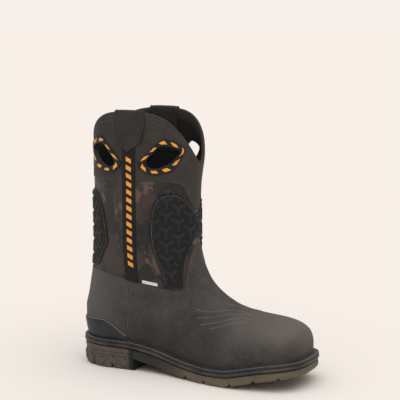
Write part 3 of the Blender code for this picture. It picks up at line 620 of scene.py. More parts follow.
def oiled_leather(name, dark, middle, light, wear_and_painted_light):
    """Oiled full-grain leather: soft mottling where the oil moved, over a fine pebbled grain. The foot's
    rubbed areas with a painted highlight on top, and its painted shade low down, show by the last share."""
    paint, tree, shader = blank(name, 0.62, 1.48)
    place = node(tree, "TexCoord").outputs["Object"]
    # clouds about 40 mm across, where the oil has gathered or been pulled
    cloud = node(tree, "TexNoise", {"Vector": place, "Scale": 24.0, "Detail": 5.0, "Roughness": 0.6})
    fine = node(tree, "TexNoise", {"Vector": place, "Scale": 160.0, "Detail": 4.0, "Roughness": 0.65})
    mixed = node(tree, "Math", {0: cloud.outputs["Fac"], 1: 0.72}, operation="MULTIPLY")
    mixed = node(tree, "Math", {0: fine.outputs["Fac"], 1: 0.28, 2: mixed.outputs[0]},
                 operation="MULTIPLY_ADD")
    tone = ramp(tree, mixed.outputs[0], [(0.36, dark), (0.50, middle), (0.66, light)])
    # the toe and the ridge are rubbed lighter, and their tops get a painted highlight as if lit from above
    apart = node(tree, "SeparateXYZ", {"Vector": place})
    rub_and_highlight = node(tree, "MapRange", {"Value": apart.outputs["X"], "From Min": 0.02, "From Max": 0.14},
               interpolation_type="SMOOTHSTEP")
    rise = node(tree, "MapRange", {"Value": apart.outputs["Z"], "From Min": 0.035, "From Max": 0.075},
                interpolation_type="SMOOTHSTEP")
    rub_and_highlight = node(tree, "Math", {0: rub_and_highlight.outputs[0], 1: rise.outputs[0]}, operation="MULTIPLY")
    rub_and_highlight = node(tree, "Math", {0: rub_and_highlight.outputs[0], 1: wear_and_painted_light}, operation="MULTIPLY")
    tone = node(tree, "Mix", {0: rub_and_highlight.outputs[0], 6: tone, 7: linear("#787068")}, data_type="RGBA")
    # the heel's counter is greyer and lighter; the low side before it is darker, painted shade where less
    # light falls
    back = node(tree, "MapRange", {"Value": apart.outputs["X"], "From Min": -0.070, "From Max": -0.125},
                interpolation_type="SMOOTHSTEP")
    back = node(tree, "Math", {0: back.outputs[0], 1: wear_and_painted_light}, operation="MULTIPLY")
    tone = node(tree, "Mix", {0: back.outputs[0], 6: tone.outputs[2], 7: linear("#646260")},
                data_type="RGBA")
    # painted shade: darker towards the bottom of the rear half
    low = node(tree, "MapRange", {"Value": apart.outputs["Z"], "From Min": 0.085, "From Max": 0.030,
                                  "To Max": wear_and_painted_light}, interpolation_type="SMOOTHSTEP")
    near = node(tree, "MapRange", {"Value": apart.outputs["X"], "From Min": 0.100, "From Max": 0.020},
                interpolation_type="SMOOTHSTEP")
    low = node(tree, "Math", {0: low.outputs[0], 1: near.outputs[0]}, operation="MULTIPLY")
    tone = node(tree, "Mix", {0: low.outputs[0], 6: tone.outputs[2], 7: linear("#252426")},
                data_type="RGBA")
    tree.links.new(tone.outputs[2], shader.inputs["Base Color"])
    rough = node(tree, "MapRange", {"Value": mixed.outputs[0], "From Min": 0.3, "From Max": 0.7,
                                    "To Min": 0.54, "To Max": 0.74})
    tree.links.new(rough.outputs[0], shader.inputs["Roughness"])
    # grain pebbles about 0.9 mm across, over pores of 0.4 mm
    pebble = node(tree, "TexVoronoi", {"Vector": place, "Scale": 1100.0}, feature="SMOOTH_F1")
    pore = node(tree, "TexNoise", {"Vector": place, "Scale": 2600.0, "Detail": 2.0})
    grain = node(tree, "Math", {0: pore.outputs["Fac"], 1: 0.4, 2: pebble.outputs["Distance"]},
                 operation="MULTIPLY_ADD")
    wave = node(tree, "TexNoise", {"Vector": place, "Scale": 210.0, "Detail": 3.0})
    low = node(tree, "Bump", {"Height": wave.outputs["Fac"], "Strength": 0.25, "Distance": 0.0011})
    bump = node(tree, "Bump", {"Height": grain.outputs[0], "Strength": 0.30, "Distance": 0.00022,
                               "Normal": low.outputs[0]})
    tree.links.new(bump.outputs[0], shader.inputs["Normal"])
    return paint


def printed_mesh(name, colours):
    """Knitted spacer mesh with a printed woodland pattern: flat colour patches, a 1.6 mm open knit whose
    openings are darkened as painted shade.
    """
    paint, tree, shader = blank(name, 0.85, 1.46)
    place = node(tree, "TexCoord").outputs["Object"]
    tone = None
    # three layers of patches 15 to 35 mm across, printed over each other
    for k, (colour, scale, cut) in enumerate(colours):
        shift = node(tree, "Mapping", {"Vector": place, "Location": (0.31 * k, 0.17 * k, 0.53 * k),
                                       "Scale": (1.0, 1.0, 0.72)})
        patch = node(tree, "TexNoise", {"Vector": shift.outputs[0], "Scale": scale, "Detail": 6.0,
                                        "Roughness": 0.66, "Distortion": 0.2})
        mask = ramp(tree, patch.outputs["Fac"], [(cut, grey(0.0)), (cut + 0.015, grey(1.0))])
        if tone is None:
            tone = node(tree, "Mix", {0: mask, 6: linear("#3f3531"), 7: linear(colour)}, data_type="RGBA")
        else:
            tone = node(tree, "Mix", {0: mask, 6: tone.outputs[2], 7: linear(colour)}, data_type="RGBA")
    # the knit's openings, drawn at 1.6 mm so that they show, darkened as painted shade and sunk by the bump
    knit = node(tree, "TexVoronoi", {"Vector": place, "Scale": 620.0, "Randomness": 0.15})
    hole = ramp(tree, knit.outputs["Distance"], [(0.18, grey(0.55)), (0.42, grey(1.0))])
    tone = node(tree, "Mix", {0: 1.0, 6: tone.outputs[2], 7: hole}, data_type="RGBA", blend_type="MULTIPLY")
    tree.links.new(tone.outputs[2], shader.inputs["Base Color"])
    bump = node(tree, "Bump", {"Height": knit.outputs["Distance"], "Strength": 0.5, "Distance": 0.0004})
    tree.links.new(bump.outputs[0], shader.inputs["Normal"])
    shader.inputs["Sheen Weight"].default_value = 0.15
    shader.inputs["Sheen Roughness"].default_value = 0.6
    return paint


def moulded_rubber(name, colour, dusty, roughness, relief=None):
    """Moulded rubber: an even 0.8 mm grain from the mould, dusty clouds, and a painted highlight on the
    ribs' tops.
    """
    paint, tree, shader = blank(name, roughness, 1.52)
    place = node(tree, "TexCoord").outputs["Object"]
    cloud = node(tree, "TexNoise", {"Vector": place, "Scale": 55.0, "Detail": 6.0, "Roughness": 0.62})
    tone = ramp(tree, cloud.outputs["Fac"], [(0.38, colour), (0.68, dusty)])
    # painted highlight: the ribs' tops, by their relief share, take the lighter relief colour
    if relief:
        share = node(tree, "Attribute", attribute_name="relief").outputs["Fac"]
        tone = node(tree, "Mix", {0: share, 6: tone, 7: relief}, data_type="RGBA").outputs[2]
    tree.links.new(tone, shader.inputs["Base Color"])
    rough = node(tree, "MapRange", {"Value": cloud.outputs["Fac"], "From Min": 0.3, "From Max": 0.7,
                                    "To Min": roughness - 0.08, "To Max": roughness + 0.10})
    tree.links.new(rough.outputs[0], shader.inputs["Roughness"])
    grain = node(tree, "TexNoise", {"Vector": place, "Scale": 1250.0, "Detail": 2.0})
    bump = node(tree, "Bump", {"Height": grain.outputs["Fac"], "Strength": 0.25, "Distance": 0.0003})
    tree.links.new(bump.outputs[0], shader.inputs["Normal"])
    return paint


def tread_rubber(name, colour, dusty, dark, dark_from, tinted_from):
    """Dull tread rubber: tinted where it treads, dark grey towards the waist, with dusty clouds."""
    paint, tree, shader = blank(name, 0.62, 1.52)
    place = node(tree, "TexCoord").outputs["Object"]
    apart = node(tree, "SeparateXYZ", {"Vector": place})
    waist = node(tree, "MapRange", {"Value": apart.outputs["X"], "From Min": dark_from,
                                    "From Max": tinted_from}, interpolation_type="SMOOTHSTEP")
    cloud = node(tree, "TexNoise", {"Vector": place, "Scale": 60.0, "Detail": 6.0, "Roughness": 0.6})
    tinted = ramp(tree, cloud.outputs["Fac"], [(0.35, colour), (0.70, dusty)])
    tone = node(tree, "Mix", {0: waist.outputs[0], 6: dark, 7: tinted}, data_type="RGBA")
    tree.links.new(tone.outputs[2], shader.inputs["Base Color"])
    grain = node(tree, "TexNoise", {"Vector": place, "Scale": 1200.0, "Detail": 2.0})
    bump = node(tree, "Bump", {"Height": grain.outputs["Fac"], "Strength": 0.25, "Distance": 0.0003})
    tree.links.new(bump.outputs[0], shader.inputs["Normal"])
    return paint


def dashed_rubber(name, colour, ink, pitch, reach):
    """Smooth moulded rubber printed with slanted dashes. Its UV map runs round the hole, then across."""
    paint, tree, shader = blank(name, 0.5, 1.52)
    flat = node(tree, "TexCoord").outputs["UV"]
    turned = node(tree, "Mapping", {"Vector": flat, "Rotation": (0.0, 0.0, math.pi / 2)})
    flipped = node(tree, "Mapping", {"Vector": turned.outputs[0], "Scale": (-1.0, 1.0, 1.0)})
    tone = dashes(tree, flipped.outputs[0], colour, ink, pitch, 1.2, 0.5, reach, (-1.0, 1.0))
    tree.links.new(tone, shader.inputs["Base Color"])
    place = node(tree, "TexCoord").outputs["Object"]
    grain = node(tree, "TexNoise", {"Vector": place, "Scale": 1400.0, "Detail": 2.0})
    bump = node(tree, "Bump", {"Height": grain.outputs["Fac"], "Strength": 0.2, "Distance": 0.0002})
    tree.links.new(bump.outputs[0], shader.inputs["Normal"])
    return paint


def plain_cloth(name, colour, roughness):
    """Close black cloth inside the boot, where the dark leaves one even tone."""
    paint, tree, shader = blank(name, roughness)
    shader.inputs["Base Color"].default_value = colour
    return paint


def woven_band(name, colour, high, rib, pick, roughness, marks=None):
    """Woven band over a UV map in metres: ribs along it and picks across it, with a painted highlight on
    their tops and painted shade between them; marks are printed dashes.
    """
    paint, tree, shader = blank(name, roughness, 1.5)
    flat = node(tree, "TexCoord").outputs["UV"]
    turns = node(tree, "Mapping", {"Vector": flat, "Scale": (6.2832 / rib, 6.2832 / pick, 1.0)})
    part = node(tree, "SeparateXYZ", {"Vector": turns.outputs[0]})
    u, v = (node(tree, "Math", {0: part.outputs[k]}, operation="SINE") for k in (0, 1))
    weave = node(tree, "Math", {0: u.outputs[0], 1: v.outputs[0]}, operation="MULTIPLY")
    height = node(tree, "MapRange", {"Value": weave.outputs[0], "From Min": -1.0, "From Max": 1.0})
    # painted highlight and shade: the weave's height mixes the band's colour in the hollows to the high
    # colour on top
    tone = node(tree, "Mix", {0: height.outputs[0], 6: colour, 7: high}, data_type="RGBA").outputs[2]
    if marks:
        ink, pitch, slant, fill, span, reach = marks
        tone = dashes(tree, flat, tone, ink, pitch, slant, fill, span, reach)
    tree.links.new(tone, shader.inputs["Base Color"])
    bump = node(tree, "Bump", {"Height": height.outputs[0], "Strength": 0.5, "Distance": 0.0003})
    tree.links.new(bump.outputs[0], shader.inputs["Normal"])
    return paint


def dashes(tree, flat, tone, ink, pitch, slant, fill, span, reach):
    """Slanted dashes printed over a tone, one each pitch along Y of a UV map in metres, inside span of X
    and reach of Y."""
    apart = node(tree, "SeparateXYZ", {"Vector": flat})
    x, y = apart.outputs["X"], apart.outputs["Y"]
    lean = node(tree, "Math", {0: x, 1: slant, 2: y}, operation="MULTIPLY_ADD")
    turn = node(tree, "Math", {0: lean.outputs[0], 1: pitch}, operation="DIVIDE")
    turn = node(tree, "Math", {0: turn.outputs[0]}, operation="FRACT")
    on = node(tree, "Math", {0: turn.outputs[0], 1: fill}, operation="LESS_THAN").outputs[0]
    for value, (low, high) in ((x, span), (y, reach)):
        for limit, test in ((low, "GREATER_THAN"), (high, "LESS_THAN")):
            inside = node(tree, "Math", {0: value, 1: limit}, operation=test)
            on = node(tree, "Math", {0: on, 1: inside.outputs[0]}, operation="MULTIPLY").outputs[0]
    return node(tree, "Mix", {0: on, 6: tone, 7: ink}, data_type="RGBA").outputs[2]


def twisted_thread(name, colour):
    """Waxed polyester thread: a slightly shiny twist with dark turns, painted shade where its bump sinks.
    """
    paint, tree, shader = blank(name, 0.5, 1.5)
    place = node(tree, "TexCoord").outputs["Object"]
    twist = node(tree, "TexNoise", {"Vector": place, "Scale": 900.0, "Detail": 2.0})
    # painted shade: the noise that sinks the bump also darkens the colour there
    dark = tuple(part * 0.45 for part in colour[:3]) + (1.0,)
    tone = ramp(tree, twist.outputs["Fac"], [(0.35, dark), (0.6, colour)])
    tree.links.new(tone, shader.inputs["Base Color"])
    bump = node(tree, "Bump", {"Height": twist.outputs["Fac"], "Strength": 0.4, "Distance": 0.0002})
    tree.links.new(bump.outputs[0], shader.inputs["Normal"])
    return paint


# ---------------------------------------------------------------- what a user would change

class BootSizes(bpy.types.PropertyGroup):
    """Sizes of the boot's fine detail."""

    stitch_pitch: bpy.props.FloatProperty(
        name="Stitch pitch", description="Distance from one leather stitch to the next", default=0.0030,
        unit="LENGTH")
    stitch_width: bpy.props.FloatProperty(
        name="Stitch width", description="Thickness of the leather thread", default=0.0007, unit="LENGTH")
    welt_pitch: bpy.props.FloatProperty(
        name="Welt stitch pitch", description="Distance from one welt stitch to the next", default=0.0036,
        unit="LENGTH")
    seam_depth: bpy.props.FloatProperty(
        name="Seam depth", description="Depth of the groove along a leather seam", default=0.0006,
        unit="LENGTH")
    crease_depth: bpy.props.FloatProperty(
        name="Crease depth", description="Depth of the soft creases over the ankle", default=0.0007,
        unit="LENGTH")
    tread_rise: bpy.props.FloatProperty(
        name="Panel tread height", description="Height of the ribs on the shaft's rubber panels",
        default=0.0011, unit="LENGTH")
    tread_pitch: bpy.props.FloatProperty(
        name="Panel tread pitch", description="Distance from one rib cluster to the next", default=0.0180,
        unit="LENGTH")


class BootColours(bpy.types.PropertyGroup):
    """Colours of the boot's materials."""

    leather_dark: bpy.props.FloatVectorProperty(
        name="Leather, dark", description="Darkest tone of the foot leather", subtype="COLOR", size=4,
        default=linear("#2f2d2d"))
    leather: bpy.props.FloatVectorProperty(
        name="Leather", description="Middle tone of the foot leather", subtype="COLOR", size=4,
        default=linear("#403d3c"))
    leather_light: bpy.props.FloatVectorProperty(
        name="Leather, light", description="Lightest tone of the foot leather", subtype="COLOR", size=4,
        default=linear("#514c49"))
    collar: bpy.props.FloatVectorProperty(
        name="Collar leather", description="Middle tone of the collar leather", subtype="COLOR", size=4,
        default=linear("#383532"))
    rubber: bpy.props.FloatVectorProperty(
        name="Black rubber", description="Heel guard and welt", subtype="COLOR", size=4,
        default=linear("#232527"))
    tread: bpy.props.FloatVectorProperty(
        name="Tread rubber", description="Forefoot tread", subtype="COLOR", size=4,
        default=linear("#5a5444"))
    heel: bpy.props.FloatVectorProperty(
        name="Heel rubber", description="Heel block", subtype="COLOR", size=4, default=linear("#524a46"))
    orange: bpy.props.FloatVectorProperty(
        name="Safety orange", description="Dashes on the frames and the side strips", subtype="COLOR",
        size=4, default=linear("#efa53f"))
    thread: bpy.props.FloatVectorProperty(
        name="Thread", description="Welt thread", subtype="COLOR", size=4, default=linear("#b8b4ac"))


# ---------------------------------------------------------------- shapes that several pieces share

def climb(v, u):
    """Distance up the skin for one whole ring share, at places on it."""
    low, high = np.clip(v - 0.004, 0.0, 1.0), np.clip(v + 0.004, 0.0, 1.0)
    return np.linalg.norm(sample(SKIN, high, u) - sample(SKIN, low, u), axis=-1) / (high - low)


def collar_rise(u):
    """Direction in which the skin rises at the collar, at places round it."""
    rise = SKIN[-1] - SKIN[-3]
    rise = rise / np.linalg.norm(rise, axis=1, keepdims=True)
    return sample(np.stack([rise] * len(LEVELS)), np.zeros(len(u)), u)


def ring_places(count):
    """Even places all round the boot, the last the same as the first."""
    return np.linspace(0.0, 2.0, count + 1)


def hole_outline(table, away, count):
    """Closed rounded outline in side view, through the table's corners."""
    size = np.array([HOLE_LENGTH * away, HOLE_HEIGHT])
    middle = np.array([COLLAR_MIDDLE + HOLE_SPREAD * away, HOLE_LEVEL])
    corners = table * size
    n = len(corners)
    line = []
    for k in range(n):
        a, b, c, d = (corners[(k + j) % n] for j in (-1, 0, 1, 2))
        for t in np.linspace(0.0, 1.0, max(2, round(count / n)), endpoint=False):
            line.append(0.5 * (2 * b + (c - a) * t + (2 * a - 5 * b + 4 * c - d) * t ** 2
                               + (3 * b - a - 3 * c + d) * t ** 3))
    return np.array(line) + middle


def strap_low(across):
    """Ring share of the pull strap's lower edge."""
    x = COLLAR_MIDDLE + STRAP_WIDTH * (STRAP_EDGE[0, 1] + (STRAP_EDGE[0, 2] - STRAP_EDGE[0, 1]) * across)
    height = np.interp(across, STRAP_TIP[:, 0], STRAP_TIP[:, 1]) * float(SKIN[-1, :, 2].max())
    return ring_at(x, height)


def foot_relief(points):
    """Relief on the foot leather: the side seam's step and groove, soft creases and a firmer toe."""
    sizes = bpy.context.scene.boot_sizes
    x, z = points[..., 0], points[..., 2]
    relief = np.zeros(x.shape)
    near = (x < 0.125) & (x > 0.045) & (z < 0.125)
    gap, side = side_distance(x[near], z[near], SIDE_SEAM)
    ahead = gap * side
    step = 0.0006 * eased(ahead, -0.0003, 0.0008) * (1 - eased(ahead, 0.004, 0.035))
    groove = sizes.seam_depth * np.exp(-((ahead + 0.0004) / 0.0009) ** 2)
    relief[near] += step - groove
    for cx, cz, turn, long, wide, deep in CREASES:
        angle = math.radians(turn)
        along = (x - cx) * math.cos(angle) + (z - cz) * math.sin(angle)
        off = -(x - cx) * math.sin(angle) + (z - cz) * math.cos(angle)
        fade = np.exp(-(along / long) ** 2)
        relief += sizes.crease_depth * deep * fade * (np.exp(-((off - wide) / wide) ** 2)
                                                      - np.exp(-((off + wide * 0.5) / (wide * 0.8)) ** 2))
    toe = eased(x, 0.226, 0.236) * eased(z, 0.045, 0.060)
    relief += 0.0004 * toe
    return relief


def cut_through(piece):
    """Cuts the four finger holes through a finished ring of leather or lining."""
    cutters = []
    for away in (1, -1):
        outline = hole_outline(HOLE, away, 64)
        wall = [np.insert(outline, 1, y, axis=1) for y in (-0.09, -0.008)]
        for side in (-1, 1):
            ring = np.array(wall) * (1, -side, 1)
            grid = np.concatenate([ring[:1], ring, ring[-1:]])
            grid[0] = grid[0].mean(axis=0)
            grid[-1] = grid[-1].mean(axis=0)
            grid = np.concatenate([grid, grid[:, :1]], axis=1)
            cutter = grid_piece("cutter", grid)
            cut = piece.modifiers.new("hole", "BOOLEAN")
            cut.operation = "DIFFERENCE"
            cut.solver = "EXACT"
            cut.object = cutter
            cutters.append(cutter)
    settled = piece.evaluated_get(bpy.context.evaluated_depsgraph_get())
    mesh = bpy.data.meshes.new_from_object(settled)
    piece.modifiers.clear()
    piece.data = mesh
    mesh.name = piece.name
    for cutter in cutters:
        bpy.data.objects.remove(cutter, do_unlink=True)
    return piece


def tread_mask(across, up, pitch):
    """Height share of three-armed ribs set in rows, over flat places in metres."""
    column = pitch * 0.84
    best = np.full(across.shape, 9.0)
    base_col, base_row = np.round(across / column), np.round(up / pitch)
    for dc in (-1, 0, 1):
        col = base_col + dc
        for dr in (-1, 0, 1):
            x = across - col * column
            y = up - (base_row + dr + 0.5 * np.mod(col, 2)) * pitch
            for turn in (32, 148, 270):
                dx, dy = math.cos(math.radians(turn)), math.sin(math.radians(turn))
                along = np.clip(x * dx + y * dy, 0.0, pitch * 0.46)
                best = np.minimum(best, np.hypot(x - along * dx, y - along * dy))
    return 1 - eased(best, 0.0012, 0.0022)


def panel_ribs(edge, rings, places, middle):
    """Share of rib height over a panel, with a plain border."""
    pitch = bpy.context.scene.boot_sizes.tread_pitch
    height = sample(SKIN, rings, places)[..., 2]
    half = np.linalg.norm(np.diff(sample(SKIN, rings[..., None], np.linspace(0, 1, 40)), axis=-2),
                          axis=-1).sum(-1)
    across = (np.abs((places + 1) % 2 - 1) - middle) * half
    return tread_mask(across, height, pitch) * eased(edge, 0.0046, 0.0062)


def panel_piece(name, rings, places, middle):
    """Closed thin panel on the shaft: rounded rim, border with a stitch channel, ribs, and a flat back."""
    edge = edge_gap(on_skin(rings, places, np.zeros(rings.shape)))
    ribs = panel_ribs(edge, rings, places, middle)
    channel = np.exp(-((edge - 0.0028) / 0.0007) ** 2) * 0.0003
    lift = PANEL_THICK * rounding(edge / 0.0014, 2.0) * 0.8 + 0.0004 * eased(edge, 0.0036, 0.0048) - channel
    lift = np.where(edge < 1e-7, -0.0006, 0.0002 + lift + bpy.context.scene.boot_sizes.tread_rise * ribs)
    back = np.full(rings.shape, -0.0006)
    rise = np.concatenate([ribs, 0 * ribs, 0 * ribs[:1]])
    return band_piece(name, on_skin(rings, places, lift), on_skin(rings, places, back), rise), edge


def inset_line(edge, rings, places, inset, column):
    """Places at one distance inside a panel's side: column counts from the left (0) or the right (-1)."""
    half = edge.shape[1] // 2
    cut = slice(None, half) if column == 0 else slice(None, -half - 1, -1)
    line = []
    for k in range(len(edge)):
        gap = edge[k, cut]
        if gap.max() > inset * 1.05:
            reach = int(gap.argmax()) + 1
            line.append([np.interp(inset, gap[:reach], field[k, cut][:reach]) for field in (rings, places)])
    return np.array(line).T


def edge_gap(points):
    """Distance of each place of a grid from the grid's border, in metres."""
    across = np.cumsum(np.linalg.norm(np.diff(points, axis=1), axis=2), axis=1)
    across = np.c_[np.zeros(len(points)), across]
    side = np.minimum(across, across[:, -1:] - across)
    up = np.cumsum(np.linalg.norm(np.diff(points, axis=0), axis=2), axis=0)
    up = np.r_[np.zeros((1, points.shape[1])), up]
    return np.minimum(side, np.minimum(up, up[-1:] - up))


def outline(u, grow):
    """Places on the sole's outline in plan, grown outwards."""
    u = np.asarray(u, float)
    point = sample(SKIN, np.zeros(u.shape), u)[..., :2]
    ahead = sample(SKIN, np.zeros(u.shape), u + 0.004)[..., :2]
    run = ahead - sample(SKIN, np.zeros(u.shape), u - 0.004)[..., :2]
    out = np.stack([run[..., 1], -run[..., 0]], -1)
    out = out / np.linalg.norm(out, axis=-1, keepdims=True)
    return point + out * np.asarray(grow, float)[..., None]


def sole_places(low, high, step, grooves):
    """Places along the sole in side view, with one at every corner of each groove."""
    rows = np.linspace(low, high, max(3, round((high - low) / step)))
    cuts = [g * SOLE_LENGTH + GROOVE_WIDTH * k for g in grooves for k in (0.5, 0.18, -0.18, -0.5)]
    cuts = [c for c in cuts if low < c < high]
    kept = [x for x in rows[1:-1] if all(abs(x - c) > 0.45 * step for c in cuts)]
    return np.array(sorted([rows[0], rows[-1]] + kept + cuts))


def block_columns(low, high, toe, step, grooves):
    """Places round a sole block's outline from its cut end round the toe or heel, matched on both sides."""
    xs = sole_places(low, high, step, grooves)
    cut = (lambda side: place_round(0.0, xs, side))
    outer, inner = cut(-1), cut(1)
    if toe:
        turn = np.linspace(outer[-1], inner[-1], max(8, round(0.13 / step)))[1:-1]
        return np.r_[outer, turn, inner[::-1]]
    turn = np.linspace(inner[0], 2.0 + outer[0], max(8, round(0.12 / step)))[1:-1]
    return np.r_[inner[::-1], turn, 2.0 + outer]


def sole_block(name, u, middle, breast, levels):
    """Closed block from outline places; levels give inset share, growth and height over each place."""
    rows = []
    base = outline(u, np.zeros(u.shape))
    for inset, grow, height in levels:
        plan = outline(u, np.broadcast_to(grow, u.shape))
        spine = np.stack([np.clip(base[:, 0], *middle), np.zeros(len(u))], 1)
        if breast is not None:
            plan[[0, -1], 0] = breast
            t = np.linspace(0.0, 1.0, 34)[1:-1, None]
            plan = np.r_[plan, plan[-1] * (1 - t) + plan[0] * t]
            inside = breast + 0.008 * (1 if middle[1] > breast else -1)
            spine = np.r_[spine, np.tile([inside, 0.0], (len(t), 1))]
        plan = spine + (plan - spine) * inset
        rows.append(np.c_[plan, height(plan[:, 0], plan[:, 1])])
    points = np.array(rows)
    return grid_piece(name, np.concatenate([points, points[:, :1]], axis=1))


def groove_lift(x, grooves):
    """How far each groove raises the bottom at x."""
    lift = np.zeros_like(x)
    for share in grooves:
        away = np.abs(x - share * SOLE_LENGTH) / GROOVE_WIDTH
        lift = np.maximum(lift, GROOVE_DEPTH * np.clip((0.5 - away) / 0.32, 0.0, 1.0))
    return lift


def tread_low(x):
    """Bottom of the tread's lugs."""
    return np.maximum(0.0, tread_top(x) - TREAD * smooth(SEAT, x / SOLE_LENGTH, 3))


def between(low, high, share):
    """Height at a share of the way from one surface to another."""
    return lambda x, y: low(x) + (high(x) - low(x)) * share


def midsole_low(x):
    return tread_top(x) + GAP


def midsole_high(x):
    return tread_top(x) + MIDSOLE


def welt_low(x):
    return midsole_high(x) + GAP


def angular(distance, slope):
    """Flat-topped ramp with a straight side, for stepped relief on moulded rubber."""
    return np.clip(distance / slope, 0.0, 1.0)


def heel_relief(u, share):
    """Stepped blocks round the heel's side: upright edges, each with a slanted shoulder."""
    spots = outline(u, np.zeros(u.shape))
    along = arc_length(spots)
    along = along - along[-1] / 2
    t = np.mod(np.abs(along) / 0.0158 + 0.25, 1.0)
    upright = angular(t - 0.02, 0.05) * angular(0.62 - t + 0.45 * (share - 0.35), 0.05)
    band = angular(share - 0.14, 0.05) * angular(0.60 - share - 0.16 * (t > 0.30), 0.05)
    return 0.0023 * upright * band - 0.0013 * angular(share - 0.10, 0.04) * angular(0.64 - share, 0.04)


def side_slots(u, share):
    """Short slots up the side of the forefoot tread, and arrow notches in the waist."""
    spots = outline(u, np.zeros(u.shape))
    along = arc_length(spots)
    toe = eased(spots[:, 0], 0.262, 0.272)
    t = np.abs(np.mod(along / 0.0078, 1.0) - 0.5) * 0.0078
    slot = (1 - eased(t, 0.0005, 0.0010)) * (1 - eased(share, 0.34, 0.46)) * toe
    waist = eased(spots[:, 0], 0.092, 0.096) * (1 - eased(spots[:, 0], 0.146, 0.152))
    w = np.mod(spots[:, 0] / 0.0135, 1.0)
    arrow = angular(share - 0.20 - 0.5 * w, 0.08) * angular(0.80 - share, 0.06) * waist
    return -0.0012 * slot - 0.0007 * arrow


# ---------------------------------------------------------------- leather, cloth and lining

class BOOT_OT_foot_leather(bpy.types.Operator):
    """Foot leather: one vamp and quarter skin with its seam, edge and creases"""
    bl_idname = "boot.foot_leather"
    bl_label = "Foot leather"

    def execute(self, context):
        looks = context.scene.boot_colours
        u = ring_places(560)[None]
        top = line_at(FOOT_LINE, u)
        outer = np.r_[np.linspace(0.0, 0.985, 118), 0.990, 0.9945, 0.998, 1.0]
        lifts = np.r_[np.full(118, 1.0), 0.97, 0.86, 0.62, 0.25]
        v = top * outer[:, None]
        u = np.broadcast_to(u, v.shape)
        lift = FOOT_STEP * lifts[:, None] + foot_relief(sample(SKIN, v, u)) * lifts[:, None]
        face = on_skin(v, u, lift)
        back_v = top * np.linspace(1.0, 0.0, 27)[:, None]
        back = on_skin(back_v, u[:27], np.full(back_v.shape, -0.0005))
        piece = grid_piece("foot_leather", np.concatenate([face, back, face[:1]]))
        paint = oiled_leather("oiled_leather", looks.leather_dark, looks.leather, looks.leather_light, 0.55)
        dressed(piece, paint, "leather", "upper")
        return {"FINISHED"}


class BOOT_OT_shaft_cloth(bpy.types.Operator):
    """Shaft cloth: printed mesh between the foot leather and the collar leather"""
    bl_idname = "boot.shaft_cloth"
    bl_label = "Shaft cloth"

    def execute(self, context):
        u = ring_places(320)[None]
        low, high = line_at(FOOT_LINE, u) - 0.02, line_at(COLLAR_LINE, u) + 0.02
        t = np.linspace(0.0, 1.0, 90)[:, None]
        v = low + (high - low) * t
        u = np.broadcast_to(u, v.shape)
        face = on_skin(v, u, np.zeros(v.shape))
        back = on_skin(v[::-6], u[::-6], np.full(v[::-6].shape, -0.0010))
        piece = grid_piece("shaft_cloth", np.concatenate([face, back, face[:1]]))
        layers = (("#262423", 30.0, 0.50), ("#5c4d46", 44.0, 0.58), ("#332e2c", 62.0, 0.57))
        dressed(piece, printed_mesh("printed_spacer_mesh", layers), "leather")
        return {"FINISHED"}


class BOOT_OT_collar_leather(bpy.types.Operator):
    """Collar leather: folded over the scalloped top, with the finger holes cut through"""
    bl_idname = "boot.collar_leather"
    bl_label = "Collar leather"

    def execute(self, context):
        looks = context.scene.boot_colours
        u = ring_places(400)[None]
        low = line_at(COLLAR_LINE, u)
        shares = np.r_[0.0, 0.008, 0.022, 0.04, np.linspace(0.06, 1.0, 34)]
        lifts = np.r_[0.15, 0.62, 0.92, np.full(35, 1.0)]
        v = low + (FOLD - low) * shares[:, None]
        u = np.broadcast_to(u, v.shape)
        face = on_skin(v, u, np.broadcast_to(COLLAR_STEP * lifts[:, None], v.shape))
        up = collar_rise(u[0])
        flange = WALL + 0.0003
        middle, reach = (COLLAR_STEP - flange) / 2, (COLLAR_STEP + flange) / 2
        top = []
        for turn in np.linspace(20, 160, 8):
            angle = math.radians(turn)
            point = on_skin(np.full(u[0].shape, FOLD), u[0],
                            np.full(u[0].shape, middle + reach * math.cos(angle)))
            top.append(point + up * reach * 0.9 * math.sin(angle))
        inside = [on_skin(np.full(u[0].shape, at), u[0], np.full(u[0].shape, -lift))
                  for at, lift in ((FOLD, flange), (0.99, flange), (0.98, flange), (0.977, flange - 0.0004),
                                   (0.98, flange - 0.0009), (0.995, flange - 0.0009))]
        back = [on_skin(low[0] + (1.0 - low[0]) * at, u[0], np.full(u[0].shape, -0.0006))
                for at in (0.98, 0.6, 0.3, 0.0)]
        piece = grid_piece("collar_leather", np.concatenate([face, top, inside, back, face[:1]]))
        cut_through(piece)
        paint = oiled_leather("collar_leather", linear("#2d2a28"), looks.collar, linear("#423e3b"), 0.0)
        dressed(piece, paint, "leather")
        return {"FINISHED"}


class BOOT_OT_lining(bpy.types.Operator):
    """Lining: black cloth inside the whole boot, with the finger holes cut through"""
    bl_idname = "boot.lining"
    bl_label = "Lining"

    def execute(self, context):
        u = ring_places(300)[None]
        v = np.linspace(0.0, 0.985, 120)[:, None] + np.zeros(u.shape)
        u = np.broadcast_to(u, v.shape)
        face = on_skin(v, u, np.full(v.shape, -WALL))
        back = on_skin(v[::-7], u[::-7], np.full(v[::-7].shape, -WALL + 0.0009))
        piece = grid_piece("lining", np.concatenate([face, back, face[:1]]))
        cut_through(piece)
        paint = plain_cloth("lining_cloth", linear("#1d1d1f"), 0.9)
        dressed(piece, paint, "lining")
        return {"FINISHED"}


